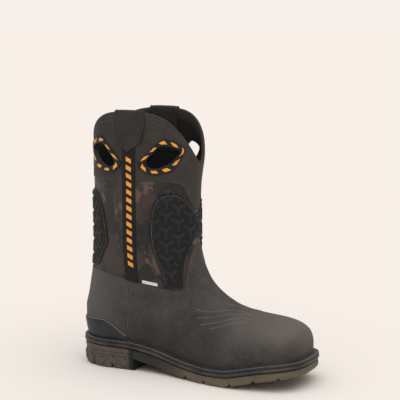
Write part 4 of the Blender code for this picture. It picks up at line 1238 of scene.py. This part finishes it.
class BOOT_OT_insole(bpy.types.Operator):
    """Insole: a thin cloth-topped pad on the footbed"""
    bl_idname = "boot.insole"
    bl_label = "Insole"

    def execute(self, context):
        u = block_columns(0.030, TOE_SPINE, True, 0.004, ())
        u = np.r_[u, np.linspace(u[-1], 2.0 + u[0], 40)[1:-1]]
        edge = -WALL - GAP - 0.0004
        cup = (lambda rise: (lambda x, y: feather(x) + rise))
        levels = [(s, edge, (lambda x, y: welt_low(x) + 0.0001)) for s in (0.0, 0.35, 0.7, 1.0)]
        levels += [(1.0, edge, cup(0.0022)), (0.99, edge, cup(0.0029)), (0.96, edge, cup(0.0030))]
        levels += [(s, edge, cup(0.0030)) for s in (0.8, 0.55, 0.3, 0.0)]
        piece = sole_block("insole_pad", u, (0.030, TOE_SPINE), None, levels)
        paint = plain_cloth("insole_cloth", linear("#242426"), 0.92)
        dressed(piece, paint, "lining", "insole")
        return {"FINISHED"}


# ---------------------------------------------------------------- rubber, straps and trim on the shaft

class BOOT_OT_tread_panels(bpy.types.Operator):
    """Tread panels: ribbed rubber over the front and the back of the shaft"""
    bl_idname = "boot.tread_panels"
    bl_label = "Tread panels"

    def execute(self, context):
        # the lighter relief colour is a painted highlight on the panels' rib tops
        paint = moulded_rubber("panel_rubber", linear("#131415"), linear("#1a1b1c"), 0.6,
                               relief=linear("#242628"))
        steps = np.linspace(0.0, len(FRONT_PANEL) - 1, 130)
        table = np.c_[np.arange(len(FRONT_PANEL)), FRONT_PANEL]
        inner_u, inner_v, outer_u, outer_v = (smooth(table, steps, k) for k in (1, 2, 3, 4))
        rows = []
        for side in (-1, 1):
            part = np.stack([side * inner_u, inner_v, side * outer_u, outer_v], 1)
            rows.append(part if side < 0 else part[-2::-1])
        line = np.concatenate(rows)
        across = np.r_[0.0, 0.008, 0.02, np.linspace(0.035, 0.965, 84), 0.98, 0.992, 1.0][None]
        places = line[:, :1] * (1 - across) + line[:, 2:3] * across
        rings = line[:, 1:2] * (1 - across) + line[:, 3:4] * across
        piece, edge = panel_piece("front_panel_rubber", rings, places, 0.245)
        dressed(piece, paint, "black_rubber", "front_tread_panel")
        threads = bmesh.new()
        self.sew(threads, edge, rings, places, -1)

        v = np.interp(np.linspace(0, 1, 190), np.linspace(0, 1, len(REAR_PANEL)), REAR_PANEL[:, 0])[:, None]
        across = np.r_[-1.0, -0.985, -0.96, np.linspace(-0.93, 0.93, 150), 0.96, 0.985, 1.0][None]
        places = 1.0 + smooth(REAR_PANEL, v, 1) * across
        rings = np.broadcast_to(v, places.shape)
        piece, edge = panel_piece("rear_panel_rubber", rings, places, 1.0)
        dressed(piece, paint, "black_rubber", "rear_tread_panel")
        for column in (0, -1):
            self.sew(threads, edge, rings, places, column)
        piece = piece_from("panel_stitches", threads)
        dressed(piece, twisted_thread("panel_thread", linear("#8a8a88")), "black_rubber")
        return {"FINISHED"}

    def sew(self, threads, edge, rings, places, column):
        """Thread along one side of a panel."""
        sizes = bpy.context.scene.boot_sizes
        v, u = inset_line(edge, rings, places, 0.0029, column)
        skin_row(threads, v, u, PANEL_THICK * 0.8, 0.0034, 0.0024, sizes.stitch_width)


def strap_points(side, thick, across, rows):
    """Rows of a pull strap from its tip up the outside, over the collar and down the inside."""
    low = strap_low(across)
    middle, reach = (COLLAR_STEP - WALL) / 2, (COLLAR_STEP + WALL) / 2 + GAP + 0.4 * SEAT_PLAY
    points = []
    for t, wall in zip(rows, thick):
        share = np.clip(t / STRAP_OVER, 0.0, 1.0)
        edges = [smooth(STRAP_EDGE, share, k) for k in (1, 2)]
        x = COLLAR_MIDDLE + STRAP_WIDTH * (edges[0] + (edges[1] - edges[0]) * across)
        v = low + (FOLD - low) * share
        if t > STRAP_ROUND:
            v = np.full(len(across), FOLD - 0.085 * (t - STRAP_ROUND) / (1.0 - STRAP_ROUND))
        u = place_round(v, x, side)
        turn = math.radians(180 * np.clip((t - STRAP_OVER) / (STRAP_ROUND - STRAP_OVER), 0.0, 1.0))
        up = collar_rise(u)
        lift = middle + (reach + wall) * math.cos(turn)
        points.append(on_skin(v, u, lift) + up * ((reach + wall) * math.sin(turn))[:, None])
    return np.array(points)


class BOOT_OT_pull_straps(bpy.types.Operator):
    """Pull straps: bands with a raised rim and a groove along their edges, over the collar at both sides"""
    bl_idname = "boot.pull_straps"
    bl_label = "Pull straps"

    def execute(self, context):
        paint = oiled_leather("strap_leather", linear("#262423"), linear("#302e2d"), linear("#3a3735"), 0.0)
        across = np.r_[0.0, 0.01, 0.025, np.linspace(0.05, 0.95, 38), 0.975, 0.99, 1.0]
        rows = np.r_[0.0, 0.004, 0.01, np.linspace(0.02, STRAP_OVER, 46),
                     np.linspace(STRAP_OVER, STRAP_ROUND, 11)[1:], np.linspace(STRAP_ROUND, 1.0, 16)[1:]]
        for side, word in ((-1, "lateral"), (1, "medial")):
            back = strap_points(side, np.zeros((len(rows), len(across))), across, rows)
            edge = edge_gap(back)
            ridge = np.exp(-((edge - 0.0016) / 0.0012) ** 2)
            ridge = ridge - 1.2 * np.exp(-((edge - 0.0036) / 0.0008) ** 2)
            thick = STRAP_THICK * rounding(edge / 0.0011, 2.0) + 0.0003 * ridge * (edge > 1e-7)
            face = strap_points(side, thick, across, rows)
            piece = band_piece("strap_" + word, face, back)
            dressed(piece, paint, "strap", "pull_strap_" + word)
        return {"FINISHED"}


class BOOT_OT_side_strips(bpy.types.Operator):
    """Side strips: black webbing down both sides, with plain slanted orange dashes"""
    bl_idname = "boot.side_strips"
    bl_label = "Side strips"

    def execute(self, context):
        looks = context.scene.boot_colours
        # 14 dashes, 7 mm wide, and the lower part bare
        marks = (looks.orange, 0.0099, 0.45, 0.54, (0.0050, 0.0122), (0.0235, 0.1620))
        paint = woven_band("strip_webbing", linear("#161618"), linear("#242426"), 0.0013, 0.0011, 0.8,
                           marks)
        across = np.r_[0.0, 0.02, 0.06, np.linspace(0.1, 0.9, 13), 0.94, 0.98, 1.0]
        rows = np.linspace(0.0, 1.0, 120)
        for side, word in ((-1, "lateral"), (1, "medial")):
            x = COLLAR_MIDDLE - 0.001 + STRIP_WIDTH * (across - 0.5)
            span = (x - COLLAR_MIDDLE) / STRAP_WIDTH - STRAP_EDGE[0, 1]
            top = strap_low(span / (STRAP_EDGE[0, 2] - STRAP_EDGE[0, 1])) + 0.002
            foot = line_at(FOOT_LINE, place_round(0.55, x, side)) - 0.003
            v = foot + (top - foot) * rows[:, None]
            u = place_round(v, np.broadcast_to(x, v.shape), side)
            climb_on = COLLAR_STEP * eased(v, COLLAR_LINE[6, 1] - 0.010, COLLAR_LINE[6, 1] + 0.002)
            rise_off = FOOT_STEP * (1 - eased(v, foot + 0.001, foot + 0.014))
            back = on_skin(v, u, climb_on + rise_off + 0.0001)
            edge = edge_gap(back)
            face = on_skin(v, u, climb_on + rise_off + 0.0001 + STRIP_THICK * rounding(edge / 0.0008, 2.0))
            piece = mapped_from_side(band_piece("strip_" + word, face, back),
                                     COLLAR_MIDDLE - STRIP_WIDTH / 2, 0.108)
            dressed(piece, paint, "webbing", "side_strip_" + word)
        return {"FINISHED"}


class BOOT_OT_hole_frames(bpy.types.Operator):
    """Hole frames: rubber rims round the finger holes, printed with plain orange dashes"""
    bl_idname = "boot.hole_frames"
    bl_label = "Hole frames"

    def execute(self, context):
        looks = context.scene.boot_colours
        low = COLLAR_STEP + 0.0001
        # through the hole, over the rim and back: growth from the hole's edge, and lift from the skin
        profile = [(-0.0006, -WALL - 0.0006), (-0.0006, -0.001), (-0.0005, low + 0.0006)]
        for away, place in ((1, "front"), (-1, "rear")):
            inner, outer = hole_outline(HOLE, away, 160), hole_outline(FRAME, away, 160)
            out = (outer - inner) / np.linalg.norm(outer - inner, axis=1, keepdims=True)
            rows = [(inner + out * grow, lift) for grow, lift in profile]
            for share, lift in ((0.03, 1.0), (0.2, 1.04), (0.4, 1.06), (0.6, 1.06), (0.8, 1.04),
                                (0.94, 0.96), (0.985, 0.75), (1.0, 0.35), (1.0, -0.4)):
                rows.append((inner + (outer - inner) * share, low + FRAME_THICK * lift))
            rows.append((inner + out * 0.0012, low - 0.0006))
            rows.append((inner + out * 0.0002, -0.001))
            rows.append((inner + out * 0.0010, -WALL - 0.0004))
            rows.append((inner + out * 0.0022, -WALL - 0.0005))
            rows.append((inner + out * 0.0022, -WALL - 0.0010))
            rows.append(rows[0])
            for side, word in ((-1, "lateral"), (1, "medial")):
                points = []
                for line, lift in rows:
                    v = ring_at(line[:, 0], line[:, 1])
                    points.append(on_skin(v, place_round(v, line[:, 0], side), np.full(len(line), lift)))
                points = np.array(points)
                points = np.concatenate([points, points[:, :1]], axis=1)
                piece = grid_piece("frame_%s_%s" % (place, word), points)
                over = np.r_[0.0, np.cumsum(np.linalg.norm(np.diff(points, axis=0), axis=2).mean(axis=1))]
                round_it = arc_length(points[5])
                measured(piece, round_it, over)
                paint = dashed_rubber("frame_rubber_%s_%s" % (place, word), linear("#1a1b1d"), looks.orange,
                                      round_it[-1] / 9, (over[4] + 0.0003, over[7] - 0.0006))
                dressed(piece, paint, "black_rubber", "hole_frame_%s_%s" % (place, word))
        return {"FINISHED"}


class BOOT_OT_heel_guard(bpy.types.Operator):
    """Heel guard: smooth rubber round the back, with a light cord along its top"""
    bl_idname = "boot.heel_guard"
    bl_label = "Heel guard"

    def execute(self, context):
        looks = context.scene.boot_colours
        end = float(HEEL_GUARD[-1, 0] * SOLE_LENGTH)
        outer, inner = (float(place_round(0.05, end, side)) for side in (-1, 1))
        u = np.linspace(inner, 2.0 + outer, 260)[:, None]
        top = smooth(HEEL_GUARD, sample(SKIN, np.full(u.shape, 0.08), u)[..., 0] / SOLE_LENGTH, 1)
        t = np.r_[0.0, 0.03, np.linspace(0.08, 0.9, 22), 0.94, 0.97, 0.99, 1.0][None]
        v = 0.004 + (top - 0.004) * t
        u = np.broadcast_to(u, v.shape)
        back = on_skin(v, u, np.full(v.shape, FOOT_STEP - 0.0002))
        edge = edge_gap(back)
        height = (GUARD_THICK + 0.0004) * rounding(edge / 0.0016, 2.0)
        face = on_skin(v, u, FOOT_STEP - 0.0002 + height)
        piece = grid_piece("guard_rubber", padded_shut(face, back))
        paint = moulded_rubber("guard_rubber", looks.rubber, linear("#34373a"), 0.5)
        dressed(piece, paint, "black_rubber", "heel_guard")
        v, u = v[:, -1] + 0.004, u[:, -1]
        line = on_skin(v, u, np.full(v.shape, FOOT_STEP + 0.0006))
        out = line - on_skin(v, u, np.full(v.shape, 0.0))
        out = out / np.linalg.norm(out, axis=1, keepdims=True)
        run = np.gradient(line, axis=0)
        side = np.cross(out, run)
        side = side / np.linalg.norm(side, axis=1, keepdims=True)
        turns = np.linspace(0.0, 2 * math.pi, 9)
        rings = [line + 0.00045 * (out * math.cos(a) + side * math.sin(a)) for a in turns[:-1]]
        cord = np.array(rings + rings[:1])
        ends = [np.broadcast_to(line[k], (len(cord), 1, 3)) for k in (0, -1)]
        piece = grid_piece("guard_cord", np.concatenate([ends[0], cord, ends[1]], axis=1))
        dressed(piece, twisted_thread("guard_cord_thread", linear("#8f8a84")), "black_rubber")
        return {"FINISHED"}


class BOOT_OT_side_tag(bpy.types.Operator):
    """Side tag: a small bare white woven label"""
    bl_idname = "boot.side_tag"
    bl_label = "Side tag"

    def execute(self, context):
        x = np.r_[0.325, 0.3265, np.linspace(0.328, 0.389, 40), 0.3905, 0.392] * SOLE_LENGTH
        v = np.r_[0.545, 0.5465, np.linspace(0.548, 0.564, 10), 0.5655, 0.567][:, None]
        v, x = np.broadcast_arrays(v, x[None])
        u = place_round(v, x, -1)
        back = on_skin(v, u, np.full(v.shape, 0.0001))
        edge = edge_gap(back)
        face = on_skin(v, u, 0.0001 + TAG_THICK * rounding(edge / 0.0006, 2.0))
        piece = band_piece("white_tag", face, back)
        paint = woven_band("woven_label", linear("#d8d6d2"), linear("#efeeeb"), 0.0006, 0.0005, 0.85)
        dressed(piece, paint, "tag", "side_tag")
        return {"FINISHED"}


# ---------------------------------------------------------------- sole

class BOOT_OT_welt(bpy.types.Operator):
    """Welt: a rubber strip round the upper, with a lip, a stitch channel and a rounded rim"""
    bl_idname = "boot.welt"
    bl_label = "Welt"

    def execute(self, context):
        looks = context.scene.boot_colours
        u = ring_places(520)
        lip, edge = FOOT_STEP + GAP, WELT_REACH - 0.0003
        # growth from the outline, share of the welt's thickness and rise above it
        profile = [
            (-WALL, 0.0, 0.0), (-WALL, 1.0, 0.0), (lip - 0.0009, 1.0, 0.0), (lip - 0.0004, 1.0, 0.0014),
            (lip + 0.0001, 1.0, 0.0023), (lip + 0.0006, 1.0, 0.0023), (lip + 0.0011, 1.0, 0.0012),
            (lip + 0.0015, 1.0, 0.0002), (edge - 0.0028, 1.0, 0.0), (edge - 0.0024, 1.0, -0.0006),
            (edge - 0.0014, 1.0, -0.0006), (edge - 0.0010, 1.0, 0.0001), (edge - 0.0003, 1.0, -0.0001),
            (edge, 1.0, -0.0006), (edge + 0.0001, 0.5, 0.0), (edge, 0.12, 0.0), (edge - 0.0003, 0.0, 0.0)]
        rows = []
        for grow, share, rise in profile + profile[:1]:
            plan = outline(u, np.full(u.shape, grow))
            low, high = welt_low(plan[:, 0]), feather(plan[:, 0])
            rows.append(np.c_[plan, low + (high - low) * share + rise])
        piece = grid_piece("welt_rubber", rows)
        paint = moulded_rubber("welt_rubber", looks.rubber, linear("#36383a"), 0.48)
        dressed(piece, paint, "black_rubber", "welt")
        return {"FINISHED"}


class BOOT_OT_midsole(bpy.types.Operator):
    """Midsole: a black rubber band with a rounded bead over a dark groove"""
    bl_idname = "boot.midsole"
    bl_label = "Midsole"

    def execute(self, context):
        u = block_columns(BACK_SPINE, TOE_SPINE, True, 0.0022, ())
        u = np.r_[u, np.linspace(u[-1], 2.0 + u[0], 90)[1:-1]]
        edge = WELT_REACH
        # up the side: share of the midsole's thickness and growth, with the bead in the middle
        side = ((0.06, -0.0026), (0.16, -0.0022), (0.24, -0.0012), (0.32, -0.0001), (0.42, 0.0003),
                (0.60, 0.0004), (0.78, 0.0002), (0.90, -0.0003), (0.97, -0.0009), (1.0, -0.0018))
        levels = [(inset, edge - 0.0030, between(midsole_low, midsole_high, 0.0))
                  for inset in (0.0, 0.4, 0.75, 0.93, 1.0)]
        levels += [(1.0, edge + grow, between(midsole_low, midsole_high, share)) for share, grow in side]
        levels += [(inset, edge - 0.0018, between(midsole_low, midsole_high, 1.0))
                   for inset in (0.93, 0.75, 0.4, 0.0)]
        piece = sole_block("midsole_rubber", u, (BACK_SPINE, TOE_SPINE), None, levels)
        paint = moulded_rubber("midsole_rubber", linear("#2e2e2d"), linear("#4c4945"), 0.45)
        dressed(piece, paint, "black_rubber", "midsole")
        return {"FINISHED"}


class BOOT_OT_outsole(bpy.types.Operator):
    """Outsole: the forefoot tread with its cross grooves, side slots and lugs"""
    bl_idname = "boot.outsole"
    bl_label = "Outsole"

    def execute(self, context):
        looks = context.scene.boot_colours
        breast = HEEL_BREAST * SOLE_LENGTH + GAP
        u = block_columns(breast, TOE_SPINE, True, 0.0018, FOREFOOT_GROOVES)
        edge = WELT_REACH - 0.0006

        def low(x, y):
            grooves = groove_lift(x, FOREFOOT_GROOVES)
            lugs = np.abs(np.mod(x / 0.0125 + np.abs(y) * 26.0, 1.0) - 0.5) * 0.0125
            spread = 1 - eased(lugs, 0.0008, 0.0016)
            inner = eased(0.036 - np.abs(y), 0.0, 0.002) * eased(x, 0.165, 0.17)
            rim = np.abs(np.abs(y) - 0.031)
            channel = (1 - eased(rim, 0.0010, 0.0018)) * eased(x, 0.150, 0.158)
            channel = channel * (1 - eased(x, 0.262, 0.268))
            return tread_low(x) + np.maximum(grooves, 0.0028 * np.maximum(spread * inner, channel))

        levels = [(s, edge - 0.0024, low) for s in np.linspace(0.0, 0.97, 34)] + [(1.0, edge - 0.0022, low)]
        # up the side: share of the tread's thickness and growth
        side = ((0.05, -0.0013), (0.12, -0.0006), (0.20, -0.0002), (0.30, 0.0), (0.36, 0.0), (0.42, 0.0),
                (0.48, 0.0), (0.54, 0.0), (0.60, 0.0), (0.66, -0.0001), (0.72, -0.0005), (0.80, -0.0006),
                (0.90, -0.0006), (0.97, -0.0009), (1.0, -0.0014))
        for share, grow in side:
            body = (lambda x, y, k=share: low(x, y) * (1 - k) + tread_top(x) * k)
            levels.append((1.0, edge + grow + side_slots(u, share), body))
        levels += [(s, edge - 0.0014, (lambda x, y: tread_top(x))) for s in (0.9, 0.6, 0.3, 0.0)]
        piece = sole_block("outsole_rubber", u, (breast + 0.008, TOE_SPINE), breast, levels)
        dusty, dark = linear("#6b6453"), linear("#2e2f2f")
        paint = tread_rubber("outsole_rubber", looks.tread, dusty, dark, -0.045, 0.035)
        dressed(piece, paint, "olive_rubber", "outsole")
        return {"FINISHED"}


class BOOT_OT_heel(bpy.types.Operator):
    """Heel: a brown-grey rubber block with stepped blocks round its side and cross grooves below"""
    bl_idname = "boot.heel"
    bl_label = "Heel"

    def execute(self, context):
        looks = context.scene.boot_colours
        breast = HEEL_BREAST * SOLE_LENGTH
        u = block_columns(0.036, breast, False, 0.0012, HEEL_GROOVES)
        edge = WELT_REACH - 0.0008

        def low(x, y):
            bars = np.abs(np.mod(np.hypot(x - 0.050, y) / 0.0105, 1.0) - 0.5) * 0.0105
            rings = (1 - eased(bars, 0.0007, 0.0015)) * (np.abs(y) < 0.030) * (x > 0.012)
            return np.maximum(groove_lift(x, HEEL_GROOVES), 0.0018 * rings)

        levels = [(s, edge - 0.0036, low) for s in np.linspace(0.0, 0.97, 26)] + [(1.0, edge - 0.0034, low)]
        shares = np.r_[0.03, 0.06, np.linspace(0.10, 0.62, 22), 0.64, 0.66, 0.685, 0.70, 0.74, 0.78, 0.80,
                       0.82, 0.88, 0.95, 1.0]
        for share in shares:
            grow = np.interp(share, (0.0, 0.05, 0.16, 0.66, 0.70, 0.78, 0.82, 0.95, 1.0),
                             (-0.0034, -0.0016, -0.0008, -0.0004, -0.0013, -0.0013, 0.0, 0.0, -0.0008))
            body = (lambda x, y, k=share: low(x, y) * (1 - k) + tread_top(x) * k)
            levels.append((1.0, edge + grow + heel_relief(u, share), body))
        levels += [(s, edge - 0.0008, (lambda x, y: tread_top(x))) for s in (0.9, 0.5, 0.0)]
        piece = sole_block("heel_rubber", u, (0.036, breast - 0.008), breast, levels)
        dusty, dark = linear("#5f5650"), linear("#222324")
        paint = tread_rubber("heel_rubber", looks.heel, dusty, dark, -0.074, -0.079)
        dressed(piece, paint, "brown_rubber", "heel")
        return {"FINISHED"}


# ---------------------------------------------------------------- stitching

class BOOT_OT_stitching(bpy.types.Operator):
    """Stitching: the welt's light thread and the rows along the leather and rubber edges"""
    bl_idname = "boot.stitching"
    bl_label = "Stitching"

    def execute(self, context):
        sizes, looks = context.scene.boot_sizes, context.scene.boot_colours
        shape = bmesh.new()
        u = ring_places(900)
        plan = outline(u, np.full(u.shape, WELT_REACH - 0.0003 - 0.0019))
        line = np.c_[plan, feather(plan[:, 0]) - 0.0001]
        stitch_row(shape, line, np.tile([0.0, 0.0, 1.0], (len(u), 1)), sizes.welt_pitch, 0.0029, 0.0012)
        piece = piece_from("welt_stitches", shape)
        dressed(piece, twisted_thread("welt_thread", looks.thread), "black_rubber")

        shape = bmesh.new()
        pitch, width = sizes.stitch_pitch, sizes.stitch_width
        long = pitch * 0.72
        places = np.linspace(-1.0, 1.0, 700)
        for drop in (0.0022, 0.0046):
            v = line_at(FOOT_LINE, places)
            v = v - drop / climb(v, places)
            skin_row(shape, v, places, FOOT_STEP + THREAD_LIFT, pitch, long, width, True)
        v = line_at(COLLAR_LINE, places)
        v = v + 0.0022 / climb(v, places)
        skin_row(shape, v, places, COLLAR_STEP + THREAD_LIFT, pitch, long, width)
        # near the collar a whole ring share would climb about 0.30 m
        for drop in (0.0030, 0.0050):
            v = np.full(places.shape, 1.0 - drop / 0.30)
            skin_row(shape, v, places, COLLAR_STEP + THREAD_LIFT, pitch, long, width)
        for side in (-1, 1):
            for shift in (-0.0026, 0.0026):
                seam = SIDE_SEAM[::-1] + np.array([shift, 0.0])
                side_row(shape, seam[:-1], side, FOOT_STEP + THREAD_LIFT, pitch, long, width)
            side_row(shape, COUNTER_SEAM, side, FOOT_STEP + THREAD_LIFT, pitch, long, width)
        piece = piece_from("leather_stitches", shape)
        dressed(piece, twisted_thread("leather_thread", linear("#6a625b")), "leather")

        # the ornament on the vamp is sewn with a thicker and lighter thread
        shape = bmesh.new()
        for path in VAMP_STITCHES:
            for side in (-1, 1):
                top_row(shape, path * (1.0, side), pitch, long, width * 1.3)
        piece = piece_from("vamp_stitches", shape)
        dressed(piece, twisted_thread("vamp_thread", linear("#958c82")), "leather")
        return {"FINISHED"}


# ---------------------------------------------------------------- stage

class BOOT_OT_stage(bpy.types.Operator):
    """Stage: pale floor, soft studio light and the camera"""
    bl_idname = "boot.stage"
    bl_label = "Stage"

    def execute(self, context):
        scene = context.scene
        shape = bmesh.new()
        bmesh.ops.create_grid(shape, x_segments=4, y_segments=4, size=30.0)
        for vertex in shape.verts:
            vertex.co.z = -0.0002
        floor = piece_from("floor", shape)
        paint, tree, shader = blank("studio_paper", 1.0)
        place = node(tree, "TexCoord").outputs["Object"]
        fibre = node(tree, "TexNoise", {"Vector": place, "Scale": 3.0, "Detail": 2.0})
        tone = ramp(tree, fibre.outputs["Fac"], [(0.3, linear("#f5efea")), (0.7, linear("#f6f0eb"))])
        tree.links.new(tone, shader.inputs["Base Color"])
        shader.inputs["Specular IOR Level"].default_value = 0.0
        floor.data.materials.append(paint)

        # a dim room above a bright horizon that has the floor's own tone
        world = bpy.data.worlds.new("soft_room")
        world.use_nodes = True
        sky = world.node_tree
        place = node(sky, "TexCoord").outputs["Generated"]
        apart = node(sky, "SeparateXYZ", {"Vector": place})
        height = node(sky, "MapRange", {"Value": apart.outputs["Z"], "From Min": 0.02, "From Max": 0.08},
                      interpolation_type="SMOOTHSTEP")
        tone = node(sky, "Mix", {0: height.outputs[0], 6: linear("#f7efe9"), 7: linear("#b3afab")},
                    data_type="RGBA")
        sky.links.new(tone.outputs[2], sky.nodes["Background"].inputs["Color"])
        scene.world = world
        for name, turn, power, spread in (("key", (26, 0, 40), 1.05, 70), ("top", (8, 0, -30), 0.85, 90)):
            light = bpy.data.lights.new(name, "SUN")
            light.energy = power
            light.angle = math.radians(spread)
            lamp = bpy.data.objects.new(name, light)
            lamp.rotation_euler = [math.radians(a) for a in turn]
            scene.collection.objects.link(lamp)

        camera = bpy.data.cameras.new("camera")
        camera.sensor_width = 36.0
        camera.lens = 118.0
        camera.clip_start, camera.clip_end = 0.05, 200.0
        holder = bpy.data.objects.new("camera", camera)
        spot = Vector((0.8777, -1.4135, 0.442)) - Vector(MIDDLE)
        aim = Vector((0.16065, 0.0, 0.2153)) - Vector(MIDDLE)
        holder.location = spot
        holder.rotation_euler = (aim - spot).to_track_quat("-Z", "Y").to_euler()
        scene.collection.objects.link(holder)
        scene.camera = holder
        scene.view_settings.view_transform = "Standard"
        return {"FINISHED"}


PIECES = (
    BOOT_OT_foot_leather, BOOT_OT_shaft_cloth, BOOT_OT_collar_leather, BOOT_OT_lining, BOOT_OT_insole,
    BOOT_OT_tread_panels, BOOT_OT_pull_straps, BOOT_OT_side_strips, BOOT_OT_hole_frames, BOOT_OT_heel_guard,
    BOOT_OT_side_tag, BOOT_OT_welt, BOOT_OT_midsole, BOOT_OT_outsole, BOOT_OT_heel, BOOT_OT_stitching,
    BOOT_OT_stage)


class BOOT_PT_panel(bpy.types.Panel):
    """Lists the boot's pieces and what can be changed"""
    bl_idname = "BOOT_PT_panel"
    bl_label = "Work boot"
    bl_space_type = "VIEW_3D"
    bl_region_type = "UI"
    bl_category = "Work boot"

    def draw(self, context):
        layout = self.layout
        for group in (context.scene.boot_sizes, context.scene.boot_colours):
            box = layout.box()
            for name in group.bl_rna.properties.keys():
                if name not in ("rna_type", "name"):
                    box.prop(group, name)
        for piece in PIECES:
            layout.operator(piece.bl_idname)


CLASSES = (BootSizes, BootColours) + PIECES + (BOOT_PT_panel,)


def register():
    for made in CLASSES:
        bpy.utils.register_class(made)
    bpy.types.Scene.boot_sizes = bpy.props.PointerProperty(type=BootSizes)
    bpy.types.Scene.boot_colours = bpy.props.PointerProperty(type=BootColours)


def unregister():
    del bpy.types.Scene.boot_sizes
    del bpy.types.Scene.boot_colours
    for made in reversed(CLASSES):
        bpy.utils.unregister_class(made)


def main():
    """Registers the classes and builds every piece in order."""
    register()
    boot = bpy.ops.boot
    boot.foot_leather()
    boot.shaft_cloth()
    boot.collar_leather()
    boot.lining()
    boot.insole()
    boot.tread_panels()
    boot.pull_straps()
    boot.side_strips()
    boot.hole_frames()
    boot.heel_guard()
    boot.side_tag()
    boot.welt()
    boot.midsole()
    boot.outsole()
    boot.heel()
    boot.stitching()
    boot.stage()


if __name__ == "__main__":
    main()
